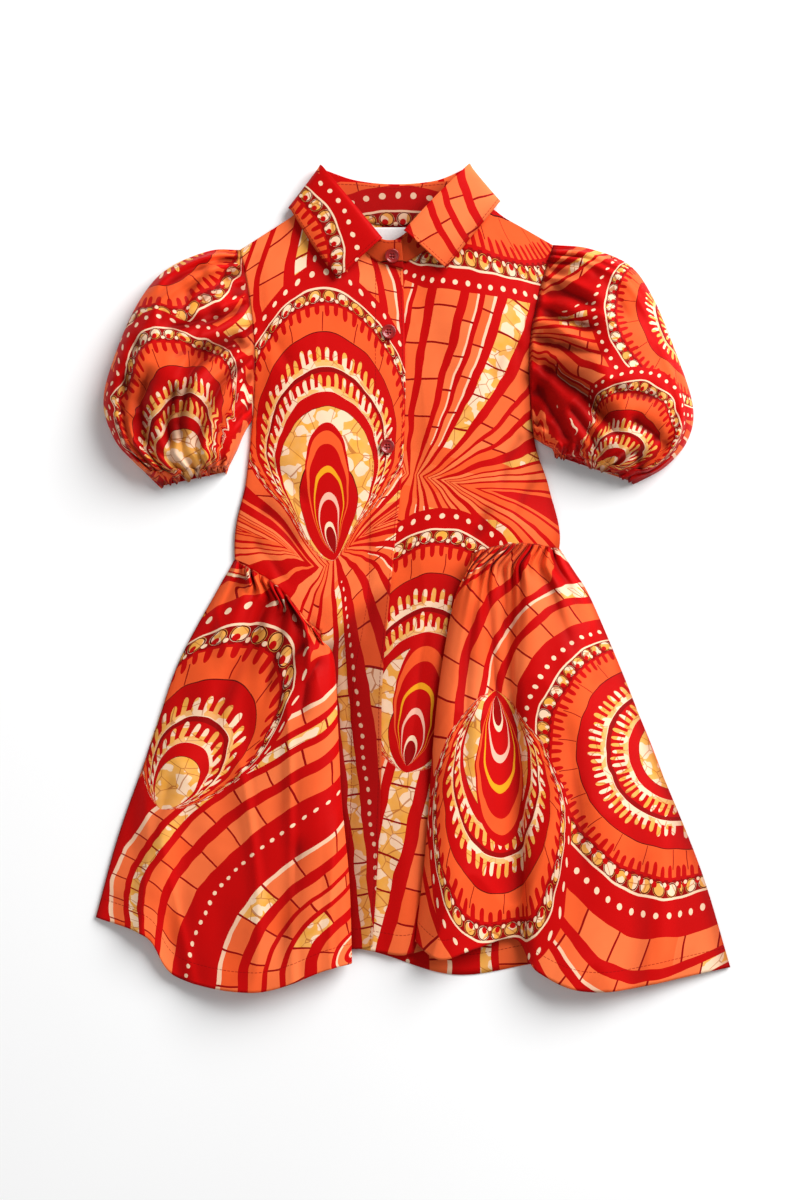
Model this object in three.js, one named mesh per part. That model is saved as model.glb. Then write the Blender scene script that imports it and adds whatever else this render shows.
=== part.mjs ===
// A child's shirt dress in wax-print cotton, lying face up on a table.
// Millimetres: +X to the right of the picture, +Y towards the collar, +Z up from the table.
import * as THREE from "three";

// Driving sizes
const cloth = 1.2; // wall of one layer of cotton
const collarCloth = 1.6; // two layers and their interfacing
const seamGap = 0.45; // between pieces that are sewn together
const floorLayer = cloth / 2; // middle of a layer that lies on the table
const labelSize = [38, 22, 1];
const labelPlace = [-17, 269, 4.5];

const buttonSize = {
  radius: 5.8,
  thickness: 2.4,
  rim: 1.2, // width of the raised rim
  dish: 0.7, // depth inside the rim
  slope: 0.6, // width of the dish's side
  undercut: 0.8,
  roundOver: 0.5,
  sides: 18,
};

// Tucks stand up along a gathered edge. Shares are of a piece's width or of its length.
const tucks = {
  height: 2.2,
  endShare: 1 / 8, // of the width, over which they rise from the piece's ends
  heightAtSeam: 0.4, // share of their height in the seam itself
  riseShare: 0.08, // of the length, over which they reach all of it
};

const sidePanelShape = {
  cellsAcross: 44,
  cellsDown: 12,
  tucks: 8,
  tuckShare: 0.6, // of the length, that the tucks reach down
  waistShare: 0.15, // of the length, over which the panel meets the waist seam
  seamShare: 0.1, // of the width, over which it meets the strip
  climbShare: 0.07, // of the length, over which its inner seam climbs on to the strip's
  seamLift: cloth + 1.5 * seamGap,
  gapAcross: 1.6 * seamGap,
  gapBelow: 1.3 * seamGap,
};

const backSkirtShape = {
  cellsAcross: 40,
  cellsDown: 7,
  tucks: 8,
  tuckHeight: 1.2,
  tuckShare: 0.3, // of the length, that the tucks reach down
  flatEnds: 0.067, // of the width, at each side
  risingEnds: 0.167,
};

const sleeveShape = {
  cellsOverTop: 36,
  cellsUnder: 10,
  walls: [
    { name: "head", start: 0, end: 0.4, cellsDown: 6 },
    { name: "puff", start: 0.4, end: 0.76, cellsDown: 5 },
    { name: "hem", start: 0.76, end: 1, cellsDown: 4 },
  ], // shares of the length
  tucks: 8,
  turnedEnd: 1.8, // height of the turned sides, between the two layers
  underRound: 4, // how fast the underside comes down to the table from them
  headShare: 0.3, // of the length, over which the head takes the armhole's line
  climbShare: 0.14, // of the length, over which the puff rises from the seam
  fullness: 0.75, // power of its rounded section: fuller below 1
  headTucks: 1.2, // height of the tucks at the head, in tuck heights
  headTuckEnd: [0.1, 0.4], // of the length, between which they die out
  hemTucks: 1.3,
  hemTuckStart: [0.74, 0.94],
  leastHeight: 3, // of the inside, where a crease sinks deepest
};

const creaseEnds = [0.2, 0.33]; // shares of a crease over which it deepens and dies out

const printRed = 0xcf1408;
const buttonRed = 0x8c0b08;
const labelWhite = 0xe9e2e4;

// Control rows. Each row is one section across a piece and each column one line down it, as [x, y, z]
// of the middle of the wall. A front's rows without outer and side belong to the strip below the waist.

const frontLeftRows = [
  {
    outer: [-138, 262, 2.9], side: [-100, 286, 4.8], princess: [-75, 301, 5.0],
    inner: [-47, 268, 8.6], centre: [-8, 249, 8.8],
  },
  {
    outer: [-131, 228, 7.5], side: [-98, 240, 10], princess: [-70, 244, 10],
    inner: [-40, 234, 9.5], centre: [-7, 222, 7.4],
  },
  {
    outer: [-126, 182, 9.5], side: [-96, 188, 12], princess: [-68, 190, 11.5],
    inner: [-38, 186, 10], centre: [-6, 182, 7.4],
  },
  {
    outer: [-128, 127, 2.9], side: [-98, 130, 10], princess: [-68, 132, 11.5],
    inner: [-38, 132, 10], centre: [-6, 130, 7.4],
  },
  {
    outer: [-133, 78, 2.3], side: [-102, 74, 9], princess: [-70, 68, 11],
    inner: [-40, 72, 9.5], centre: [-9, 76, 7.4],
  },
  {
    outer: [-142, 14, 2.3], side: [-107, -8, 9.0], princess: [-73, -42, 6.5],
    inner: [-44, -14, 7.6], centre: [-16, 8, 7.2],
  },
  {
    princess: [-70, -98, 3.4], inner: [-45, -86, 6.0], centre: [-24, -82, 6.8],
  },
  {
    princess: [-67, -165, 3.2], inner: [-44, -162, 6.0], centre: [-25, -160, 6.6],
  },
  {
    princess: [-60, -235, 3.2], inner: [-43, -234, 6.2], centre: [-28, -232, 6.6],
  },
  {
    princess: [-56, -296, 3.2], inner: [-43, -296, 6.0], centre: [-32, -294, 6.6],
  },
];

const frontRightRows = [
  {
    outer: [112, 266, 2.9], side: [78, 285, 4.8], princess: [47, 301, 5.0],
    inner: [22, 270, 7.2], overlap: [0, 256, 4.7], centre: [-20, 249, 4.2],
  },
  {
    outer: [101, 228, 7.5], side: [76, 238, 10], princess: [46, 242, 11],
    inner: [20, 235, 8.2], overlap: [2, 227, 5.2], centre: [-20, 222, 4.4],
  },
  {
    outer: [93, 178, 10], side: [72, 184, 12.5], princess: [44, 188, 12],
    inner: [20, 187, 8.8], overlap: [3, 184, 5.4], centre: [-19, 182, 4.4],
  },
  {
    outer: [97, 112, 2.9], side: [74, 124, 11], princess: [44, 132, 12],
    inner: [19, 132, 8.8], overlap: [3, 131, 5.4], centre: [-19, 130, 4.4],
  },
  {
    outer: [109, 72, 2.3], side: [79, 74, 8.5], princess: [46, 76, 11],
    inner: [17, 76, 8.6], overlap: [0, 76, 5.4], centre: [-23, 76, 4.4],
  },
  {
    outer: [117, 23, 2.3], side: [84, 27, 9.5], princess: [47, 20, 7.3],
    inner: [16, 16, 8.2], overlap: [-6, 12, 5.4], centre: [-28, 8, 4.2],
  },
  {
    princess: [35, -48, 3.4], inner: [8, -58, 7.6], overlap: [-14, -66, 5.2],
    centre: [-34, -72, 3.4],
  },
  {
    princess: [27, -112, 3.2], inner: [2, -126, 7.8], overlap: [-17, -138, 5.2],
    centre: [-36, -150, 3.2],
  },
  {
    princess: [19, -186, 3.2], inner: [-2, -202, 8.0], overlap: [-20, -214, 5.2],
    centre: [-38, -226, 3.2],
  },
  {
    princess: [10, -297, 3.2], inner: [-8, -301, 7.6], overlap: [-25, -299, 5.2],
    centre: [-43, -296, 3.2],
  },
];

// The gathered side panels: from the inner seam, which their own fullness hides, over a rolled fold to
// the side seam.

const skirtLeftRows = [
  {
    seam: [-73, -43, 6.5], fold: [-77, -38, 6.8], crest: [-85, -29, 7.2],
    face: [-96, -18, 7.4], valley: [-108, -7, 7.2], outerCrest: [-124, 3, 5.0],
    sideSeam: [-142, 13, 2.3],
  },
  {
    seam: [-73, -53, 6.2], fold: [-72.5, -50, 11], crest: [-80, -43, 14],
    face: [-96, -31, 13.5], valley: [-112, -21, 9], outerCrest: [-129, -10, 10],
    sideSeam: [-148, 4, 2.3],
  },
  {
    seam: [-72, -66, 5.6], fold: [-63, -64, 10], crest: [-76, -58, 19],
    face: [-97, -46, 18], valley: [-120, -36, 10], outerCrest: [-136, -24, 14],
    sideSeam: [-156, -10, 2.3],
  },
  {
    seam: [-69, -116, 5.0], fold: [-60, -116, 11], crest: [-74, -116, 22],
    face: [-102, -106, 20], valley: [-132, -96, 8.5], outerCrest: [-158, -86, 15],
    sideSeam: [-187, -68, 2.3],
  },
  {
    seam: [-65, -176, 5.0], fold: [-57, -176, 11], crest: [-73, -176, 23],
    face: [-110, -168, 18], valley: [-152, -152, 10], outerCrest: [-180, -143, 15],
    sideSeam: [-209, -133, 2.3],
  },
  {
    seam: [-59, -242, 5.0], fold: [-51, -242, 11], crest: [-68, -246, 23],
    face: [-116, -244, 19], valley: [-176, -226, 9.5], outerCrest: [-202, -216, 15],
    sideSeam: [-235, -206, 2.3],
  },
  {
    seam: [-56, -305, 5.0], fold: [-49, -307, 11], crest: [-68, -311, 23],
    face: [-124, -329, 21], valley: [-188, -318, 9], outerCrest: [-212, -286, 14],
    sideSeam: [-253, -271, 2.3],
  },
];

const skirtRightRows = [
  {
    seam: [47, 18, 7.5], fold: [52, 20, 7.8], crest: [58, 21, 8.2], slope: [67, 23, 8.6],
    valley: [77, 25, 8.6], ridge: [88, 25, 8.0], face: [101, 24, 6.2],
    sideSeam: [117, 22, 2.3],
  },
  {
    seam: [45.5, 3, 7.2], fold: [43, 4, 11], crest: [50, 5, 14], slope: [63, 6, 13.5],
    valley: [77, 5, 9.5], ridge: [90, 6, 13], face: [109, 6, 11.5],
    sideSeam: [130, 4, 2.3],
  },
  {
    seam: [42, -20, 5.8], fold: [33, -20, 10], crest: [44, -18, 18], slope: [60, -17, 17],
    valley: [77, -20, 10], ridge: [92, -18, 17], face: [118, -16, 15],
    sideSeam: [143, -18, 2.3],
  },
  {
    seam: [31, -82, 5.0], fold: [22, -82, 11], crest: [34, -81, 20], slope: [54, -82, 17],
    valley: [76, -84, 7], ridge: [90, -82, 19], face: [130, -80, 17],
    sideSeam: [169, -79, 2.3],
  },
  {
    seam: [24, -142, 5.0], fold: [16, -142, 11], crest: [30, -143, 22],
    slope: [54, -144, 19], valley: [83, -144, 6.5], ridge: [97, -143, 20],
    face: [146, -143, 18], sideSeam: [194, -143, 2.3],
  },
  {
    seam: [18, -214, 5.0], fold: [11, -216, 11], crest: [27, -221, 23],
    slope: [54, -224, 21], valley: [85, -224, 6.5], ridge: [98, -226, 21],
    face: [158, -231, 19], sideSeam: [230, -232, 2.3],
  },
  {
    seam: [10, -288, 5.0], fold: [3, -290, 11], crest: [22, -303, 23],
    slope: [49, -295, 19], valley: [82, -288, 6.5], ridge: [101, -314, 20],
    face: [150, -329, 19], sideSeam: [254, -311, 2.3],
  },
];

const backBodiceRows = [
  {
    left: [-138, 262, 0.6], leftYoke: [-100, 286, 2.8], leftNeck: [-75, 301, 2.9],
    neck: [-14, 284, 2.9], rightNeck: [47, 301, 2.9], rightYoke: [78, 285, 2.8],
    right: [112, 266, 0.6],
  },
  {
    left: [-131, 228, 0.6], leftYoke: [-98, 252, 2.6], leftNeck: [-70, 256, 2.9],
    neck: [-14, 256, 2.9], rightNeck: [44, 256, 2.9], rightYoke: [76, 252, 2.6],
    right: [101, 228, 0.6],
  },
  {
    left: [-126, 182, 0.6], leftYoke: [-96, 190, 0.6], leftNeck: [-68, 196, 0.6],
    neck: [-14, 200, 0.6], rightNeck: [44, 196, 0.6], rightYoke: [72, 190, 0.6],
    right: [93, 178, 0.6],
  },
  {
    left: [-128, 127, 0.6], leftYoke: [-98, 130, 0.6], leftNeck: [-68, 132, 0.6],
    neck: [-14, 132, 0.6], rightNeck: [44, 130, 0.6], rightYoke: [74, 124, 0.6],
    right: [97, 112, 0.6],
  },
  {
    left: [-133, 78, 0.6], leftYoke: [-102, 78, 0.6], leftNeck: [-70, 78, 0.6],
    neck: [-14, 78, 0.6], rightNeck: [46, 76, 0.6], rightYoke: [79, 74, 0.6],
    right: [109, 72, 0.6],
  },
  {
    left: [-142, 14, 0.6], leftYoke: [-106, 16, 0.6], leftNeck: [-72, 18, 0.6],
    neck: [-14, 20, 0.6], rightNeck: [48, 22, 0.6], rightYoke: [84, 23, 0.6],
    right: [117, 23, 0.6],
  },
];

const backSkirtRows = [
  {
    left: [-142, 13.3, 0.6], leftMid: [-96, 15.6, 0.6], centreLeft: [-50, 17.6, 0.6],
    centreRight: [10, 20, 0.6], rightMid: [64, 21.8, 0.6], right: [117, 22.3, 0.6],
  },
  {
    left: [-162, -21, 0.6], leftMid: [-110, -24, 0.6], centreLeft: [-52, -26, 0.6],
    centreRight: [14, -26, 0.6], rightMid: [76, -24, 0.6], right: [143, -18, 0.6],
  },
  {
    left: [-196, -94, 0.6], leftMid: [-132, -98, 0.6], centreLeft: [-56, -100, 0.6],
    centreRight: [18, -100, 0.6], rightMid: [92, -98, 0.6], right: [174, -92, 0.6],
  },
  {
    left: [-220, -165, 0.6], leftMid: [-146, -176, 0.6], centreLeft: [-58, -180, 0.6],
    centreRight: [20, -182, 0.6], rightMid: [106, -178, 0.6], right: [203, -165, 0.6],
  },
  {
    left: [-253, -270, 0.6], leftMid: [-158, -294, 0.6], centreLeft: [-46, -296, 0.6],
    centreRight: [34, -317, 0.6], rightMid: [120, -306, 0.6], right: [253, -310, 0.6],
  },
];

// The collar round the neck: from the left point over the shoulder, under the back of the neck, to the
// right point.
const collarRows = [
  { at: "left point", fold: [-24, 270, 20.4], roll: [-31, 264, 21.2], edge: [-60, 238, 15.5] },
  { at: "left front", fold: [-48, 299, 20.4], roll: [-54, 294, 20.6], edge: [-79, 264, 14.5] },
  { at: "left shoulder, upper", fold: [-71, 327, 15], roll: [-76, 320, 14.5], edge: [-96, 292, 10.5] },
  { at: "left shoulder, lower", fold: [-69, 326, 1.4], roll: [-74, 318, 1.0], edge: [-94, 293, 0.8] },
  { at: "back left", fold: [-45, 318, 0.8], roll: [-46, 310, 0.8], edge: [-52, 276, 0.8] },
  { at: "back", fold: [-14, 315, 0.8], roll: [-14, 307, 0.8], edge: [-14, 272, 0.8] },
  { at: "back right", fold: [19, 318, 0.8], roll: [19, 310, 0.8], edge: [26, 276, 0.8] },
  { at: "right shoulder, lower", fold: [41, 327, 1.4], roll: [45, 320, 1.0], edge: [65, 298, 0.8] },
  { at: "right shoulder, upper", fold: [43, 328, 15], roll: [48, 321, 14.5], edge: [67, 297, 10.5] },
  { at: "right front", fold: [18, 303, 20.4], roll: [23, 298, 20.6], edge: [47, 272, 14.5] },
  { at: "right point", fold: [-7, 276, 20.4], roll: [-1, 271, 21.2], edge: [27, 246, 15.5] },
];

const standRows = [
  { at: "left end", seam: [-7, 246, 10.6], fold: [-9, 269, 15.8] },
  { at: "left front", seam: [-30, 254, 10.8], fold: [-27, 271, 17.4] },
  { at: "left side", seam: [-55, 277, 10.2], fold: [-49, 296, 17.8] },
  { at: "left shoulder, upper", seam: [-65, 292, 8.6], fold: [-67, 319, 12.6] },
  { at: "left shoulder, lower", seam: [-61, 291, 6.2], fold: [-64, 317, 4.4] },
  { at: "back left", seam: [-44, 286, 4.8], fold: [-42, 316, 3.0] },
  { at: "back", seam: [-14, 281, 4.8], fold: [-14, 313.5, 3.0] },
  { at: "back right", seam: [16, 286, 4.8], fold: [16, 316, 3.0] },
  { at: "right shoulder, lower", seam: [33, 291, 6.2], fold: [36, 318, 4.4] },
  { at: "right shoulder, upper", seam: [38, 292, 8.6], fold: [39, 320, 12.6] },
  { at: "right side", seam: [29, 277, 9.1], fold: [18, 299, 17.8] },
  { at: "right front", seam: [2, 256, 7.0], fold: [-4, 276, 14.6] },
  { at: "right end", seam: [-20, 247, 5.8], fold: [-19, 267, 9.2] },
];

// The puffed sleeves, from armhole to elastic: the two ends of each section as [x, y], and the height
// between them.

const sleeveLeftRows = [
  { outer: [-138, 262], inner: [-128, 127], height: 9 },
  { outer: [-162, 261], inner: [-133, 119], height: 27 },
  { outer: [-196, 246], inner: [-136, 113], height: 39 },
  { outer: [-218, 220], inner: [-138, 108], height: 45 },
  { outer: [-236, 180], inner: [-140, 103], height: 47 },
  { outer: [-246, 142], inner: [-142, 99], height: 44 },
  { outer: [-238, 112], inner: [-144, 95], height: 38 },
  { outer: [-221, 92], inner: [-146, 91], height: 27 },
  { outer: [-200, 74], inner: [-149, 85], height: 13 },
];

const sleeveRightRows = [
  { outer: [112, 266], inner: [97, 112], height: 9 },
  { outer: [140, 263], inner: [102, 109], height: 27 },
  { outer: [172, 250], inner: [105, 107], height: 39 },
  { outer: [191, 224], inner: [107, 106], height: 45 },
  { outer: [208, 184], inner: [109, 105], height: 47 },
  { outer: [223, 138], inner: [111, 104], height: 45 },
  { outer: [219, 110], inner: [112, 103], height: 40 },
  { outer: [200, 88], inner: [113, 101], height: 28 },
  { outer: [176, 77], inner: [114, 98], height: 13 },
];

// Deep creases across the puffs: a line of [x, y] points, and how far the cloth sinks along it.

const sleeveLeftCreases = [
  { path: [[-130, 196], [-150, 186], [-172, 178], [-196, 172]], depth: 6, width: 13 },
  { path: [[-204, 166], [-214, 140], [-212, 112], [-199, 90]], depth: 11, width: 11 },
  { path: [[-130, 168], [-148, 150], [-160, 122], [-168, 92]], depth: 8, width: 10 },
  { path: [[-138, 238], [-160, 226], [-178, 212]], depth: 6, width: 10 },
];

const sleeveRightCreases = [
  { path: [[96, 168], [114, 160], [134, 144], [152, 126], [168, 112]], depth: 17, width: 10 },
  { path: [[104, 232], [126, 222], [150, 212]], depth: 7, width: 10 },
  { path: [[98, 158], [106, 140], [118, 116], [136, 98]], depth: 11, width: 10 },
  { path: [[176, 120], [192, 110], [202, 102]], depth: 6, width: 10 },
];

const frontSteps = frontLeftRows.length - 1;
const frontCells = 27; // along a front, from shoulder to hem
const stripCell = 4; // cells of a front's width that end at the waist seam
const backCells = 10;
const armholeSteps = 3; // row steps of a front and of the back bodice that the armhole takes up
const waistSteps = 5; // row steps of a front down to its waist seam

const smooth = (t) => THREE.MathUtils.smoothstep(t, 0, 1);
const rise = (t, [start, end]) => THREE.MathUtils.smoothstep(t, start, end);
const vector = (values) => new THREE.Vector3(...values);

// A point on the smooth curve through evenly numbered points, t from 0 to 1.
function through(points, t) {
  return new THREE.CatmullRomCurve3(points, false, "catmullrom", 0.5).getPoint(t);
}

// A row's points from its named columns. Columns that a row lacks go on in line with the next two.
function rowPoints(row, columns) {
  const points = columns.map((name) => row[name] && vector(row[name]));
  for (let k = columns.length - 3; k >= 0; k--)
    points[k] ??= points[k + 1].clone().multiplyScalar(2).sub(points[k + 2]);
  return points;
}

// The smooth surface through a table: u runs along the named columns and v down the rows.
function tableSurface(rows, columns) {
  const grid = rows.map((row) => rowPoints(row, columns));
  const lines = columns.map((_, k) => grid.map((points) => points[k]));
  return (u, v) => through(lines.map((line) => through(line, v)), u);
}

// The same surface, kept from sinking into the table.
function onTable(sheet, thickness) {
  return (u, v) => {
    const point = sheet(u, v);
    point.z = Math.max(point.z, thickness / 2);
    return point;
  };
}

// The edge of a faceted wall, as the straight steps that it takes.
function facetedEdge(pointAt, steps) {
  const points = Array.from({ length: steps + 1 }, (_, k) => pointAt(k / steps));
  return (t) => {
    const place = THREE.MathUtils.clamp(t, 0, 1) * steps;
    const k = Math.min(Math.floor(place), steps - 1);
    return points[k].clone().lerp(points[k + 1], place - k);
  };
}

// How far the creases lower the cloth at a point.
function creaseDepth(creases, x, y) {
  const here = new THREE.Vector3(x, y, 0);
  const nearest = new THREE.Vector3();
  let depth = 0;
  for (const crease of creases) {
    const points = crease.path.map(([px, py]) => new THREE.Vector3(px, py, 0));
    let best = Infinity;
    let place = 0;
    for (let k = 0; k < points.length - 1; k++) {
      const part = new THREE.Line3(points[k], points[k + 1]);
      const t = part.closestPointToPointParameter(here, true);
      const distance = part.at(t, nearest).distanceTo(here);
      if (distance < best) [best, place] = [distance, (k + t) / (points.length - 1)];
    }
    const taper = smooth(place / creaseEnds[0]) * smooth((1 - place) / creaseEnds[1]);
    depth += crease.depth * taper * Math.exp(-((best / crease.width) ** 2));
  }
  return depth;
}

// One sheet of cloth as a closed wall. sheet(u, v) is the middle of the wall, and keep(i, j) tells its
// cells. Its edges are cut straight up where upright says so, which keeps the gap to a piece sewn on there.
function clothWall(sheet, options) {
  const { columns, rows, face, thickness = cloth, ring = false } = options;
  const { keep = () => true, upright = () => false } = options;
  const acrossCount = ring ? columns : columns + 1;
  const wrap = (i) => (ring ? (i + columns) % columns : i);
  const at = (i, j) => wrap(i) * (rows + 1) + j;
  const middle = [];
  for (let i = 0; i < acrossCount; i++)
    for (let j = 0; j <= rows; j++) middle.push(sheet(i / columns, j / rows));
  const inside = (i) => (ring ? i : THREE.MathUtils.clamp(i, 0, columns));
  const point = (i, j) => middle[at(inside(i), THREE.MathUtils.clamp(j, 0, rows))];
  const upper = [];
  const lower = [];
  for (let i = 0; i < acrossCount; i++)
    for (let j = 0; j <= rows; j++) {
      const along = point(i + 1, j).clone().sub(point(i - 1, j));
      const down = point(i, j + 1).clone().sub(point(i, j - 1));
      const normal = along.cross(down).normalize().multiplyScalar(face);
      if (upright(i, j)) normal.set(0, 0, Math.sign(normal.z));
      upper.push(point(i, j).clone().addScaledVector(normal, thickness / 2));
      lower.push(point(i, j).clone().addScaledVector(normal, -thickness / 2));
    }
  const count = middle.length;
  const triangles = [];
  const quad = (a, b, c, d) => triangles.push(...(face > 0 ? [a, b, c, a, c, d] : [a, c, b, a, d, c]));
  const has = (i, j) => (ring || (i >= 0 && i < columns)) && j >= 0 && j < rows && keep(wrap(i), j);
  for (let i = 0; i < columns; i++)
    for (let j = 0; j < rows; j++) {
      if (!has(i, j)) continue;
      const [a, b, c, d] = [at(i, j), at(i + 1, j), at(i + 1, j + 1), at(i, j + 1)];
      quad(a, b, c, d);
      quad(count + d, count + c, count + b, count + a);
      if (!has(i, j - 1)) quad(b, a, count + a, count + b);
      if (!has(i, j + 1)) quad(d, c, count + c, count + d);
      if (!has(i - 1, j)) quad(a, d, count + d, count + a);
      if (!has(i + 1, j)) quad(c, b, count + b, count + c);
    }
  const geometry = new THREE.BufferGeometry();
  const values = [...upper, ...lower].flatMap((p) => p.toArray());
  geometry.setAttribute("position", new THREE.Float32BufferAttribute(values, 3));
  geometry.setIndex(triangles);
  return geometry.toNonIndexed();
}

// A front from shoulder to hem: below the waist seam only the strip beside the buttons goes on.
function frontPiece(rows, columns, face) {
  const steps = columns.length - 1;
  const sheet = tableSurface(rows, columns);
  const cells = 2 * steps;
  const stripEdge = stripCell / cells;
  const waistCell = (frontCells * waistSteps) / frontSteps;
  const waist = waistCell / frontCells;
  const armhole = armholeSteps / frontSteps;
  const keep = (i, j) => i >= stripCell || j < waistCell;
  const upright = (i, j) => i === 0 || (i <= stripCell && j >= waistCell);
  return {
    sheet,
    geometry: clothWall(sheet, { columns: cells, rows: frontCells, face, keep, upright }),
    armhole: facetedEdge((t) => sheet(0, t * armhole), armholeSteps * 3),
    waistSeam: facetedEdge((t) => sheet((1 - t) * stripEdge, waist), stripCell),
    innerSeam: facetedEdge((t) => sheet(stripEdge, waist + t * (1 - waist)), frontCells - waistCell),
  };
}

// Small tucks that stand up along a gathered edge and fade down the cloth.
function tuck(u, v, number, fade) {
  const ends = smooth(Math.min(u, 1 - u) / tucks.endShare);
  const belowSeam = THREE.MathUtils.lerp(tucks.heightAtSeam, 1, smooth(v / tucks.riseShare));
  const faded = 1 - smooth(v / fade);
  return tucks.height * ends * belowSeam * faded * Math.cos(2 * Math.PI * number * u);
}

// A side panel of the skirt, gathered on to the front's waist seam and sewn to its strip.
function sidePanel(rows, columns, front, face) {
  const shape = sidePanelShape;
  const sheet = tableSurface(rows, columns);
  const outwards = new THREE.Vector3(-face * shape.gapAcross, 0, 0);
  const below = new THREE.Vector3(0, -shape.gapBelow, 0);
  const wall = (u, v) => {
    const nearWaist = 1 - smooth(v / shape.waistShare);
    const nearSeam = 1 - smooth(u / shape.seamShare);
    const waistShift = (at) => front.waistSeam(at).add(below).sub(sheet(at, 0)).multiplyScalar(nearWaist);
    const point = sheet(u, v).add(waistShift(u));
    const seamPoint = front.innerSeam(v).add(outwards).addScaledVector(below, nearWaist);
    seamPoint.z += shape.seamLift * smooth(v / shape.climbShare);
    const seamShift = seamPoint.sub(sheet(0, v).add(waistShift(0)));
    point.addScaledVector(seamShift, nearSeam);
    point.z += tuck(u, v, shape.tucks, shape.tuckShare);
    return point;
  };
  const upright = (i, j) => j === 0 || i === 0 || i === shape.cellsAcross;
  return clothWall(wall, { columns: shape.cellsAcross, rows: shape.cellsDown, face, upright });
}

function backSkirt() {
  const shape = backSkirtShape;
  const names = ["left", "leftMid", "centreLeft", "centreRight", "rightMid", "right"];
  const sheet = tableSurface(backSkirtRows, names);
  const wall = (u, v) => {
    const point = sheet(u, v);
    const ends = smooth((Math.min(u, 1 - u) - shape.flatEnds) / shape.risingEnds);
    const wave = (1 - Math.cos(2 * Math.PI * shape.tucks * u)) / 2;
    point.z = floorLayer + shape.tuckHeight * wave * ends * (1 - smooth(v / shape.tuckShare));
    return point;
  };
  return clothWall(wall, { columns: shape.cellsAcross, rows: shape.cellsDown, face: -1 });
}

function backBodice() {
  const names = ["left", "leftYoke", "leftNeck", "neck", "rightNeck", "rightYoke", "right"];
  const sheet = onTable(tableSurface(backBodiceRows, names), cloth);
  const armhole = armholeSteps / (backBodiceRows.length - 1);
  const edge = (u) => facetedEdge((t) => sheet(u, t * armhole), armhole * backCells);
  return {
    geometry: clothWall(sheet, { columns: 12, rows: backCells, face: -1 }),
    leftArmhole: edge(0),
    rightArmhole: edge(1),
  };
}

// How much of v makes a seam's gap at (u, v) of a sheet.
function shareOfGap(sheet, u, v) {
  const step = 0.01;
  const speed = sheet(u, v + step).distanceTo(sheet(u, v)) / step;
  return seamGap / speed;
}

// A puffed sleeve as a tube: over the top from its outer end to its inner end, and back along the table.
// It is cut across into walls that are each a simple arch.
function puffedSleeve(rows, creases, [frontArmhole, backArmhole], outward) {
  const shape = sleeveShape;
  const outer = rows.map((row) => vector([...row.outer, row.height]));
  const inner = rows.map((row) => vector([...row.inner, row.height]));
  const cells = shape.cellsOverTop + shape.cellsUnder;
  const edge = shape.turnedEnd;
  const tube = (u, v) => {
    const cell = Math.round(u * cells);
    const top = cell < shape.cellsOverTop;
    const share = top ? cell / shape.cellsOverTop : (cells - cell) / shape.cellsUnder;
    const across = (1 - Math.cos(Math.PI * share)) / 2;
    const round = Math.sin(Math.PI * share);
    const point = through(outer, v).lerp(through(inner, v), across);
    const puff = point.z;
    const seam = top ? frontArmhole(across) : backArmhole(across);
    const chord = outer[0].clone().lerp(inner[0], across);
    point.addScaledVector(seam.clone().sub(chord), 1 - smooth(v / shape.headShare));
    point.x += outward * seamGap * 2;
    if (!top) {
      point.z = Math.max(floorLayer, edge - shape.underRound * round);
      return point;
    }
    const climb = smooth(v / shape.climbShare);
    const wave = tucks.height * Math.cos(2 * Math.PI * shape.tucks * share) * smooth(round * 2);
    const nearHead = smooth(v / tucks.riseShare) * (1 - rise(v, shape.headTuckEnd));
    const nearHem = rise(v, shape.hemTuckStart);
    const sunk = creaseDepth(creases, point.x, point.y) * round;
    const crown = edge + (puff - edge) * round ** shape.fullness - sunk;
    const raised = THREE.MathUtils.lerp(Math.max(seam.z, edge), crown, climb);
    const gathered = raised + wave * (shape.headTucks * nearHead + shape.hemTucks * nearHem);
    point.z = Math.max(gathered, edge + shape.leastHeight * round * climb);
    return point;
  };
  const flatTop = (i) => i > 1 && i < shape.cellsOverTop - 1;
  const flatUnder = (i) => i > shape.cellsOverTop + 1 && i < cells - 1;
  const upright = (i, j) => j === 0 && (flatTop(i) || flatUnder(i));
  return shape.walls.map(({ name, start, end, cellsDown }) => {
    const from = (u) => (start > 0 ? start + shareOfGap(tube, u, start) : 0);
    const to = (u) => (end < 1 ? end - shareOfGap(tube, u, end) : 1);
    const wall = (u, t) => tube(u, THREE.MathUtils.lerp(from(u), to(u), t));
    const options = { columns: cells, rows: cellsDown, ring: true, face: -outward };
    if (start === 0) options.upright = upright;
    return { name, geometry: clothWall(wall, options) };
  });
}

function button() {
  const { radius, thickness, rim, dish, slope, undercut, roundOver, sides } = buttonSize;
  const profile = [
    [0, 0],
    [radius - undercut, 0],
    [radius, undercut],
    [radius, thickness - roundOver],
    [radius - roundOver, thickness],
    [radius - rim, thickness],
    [radius - rim - slope, thickness - dish],
    [0, thickness - dish],
  ].map(([across, height]) => new THREE.Vector2(across, height));
  return new THREE.LatheGeometry(profile, sides).rotateX(Math.PI / 2);
}

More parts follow.
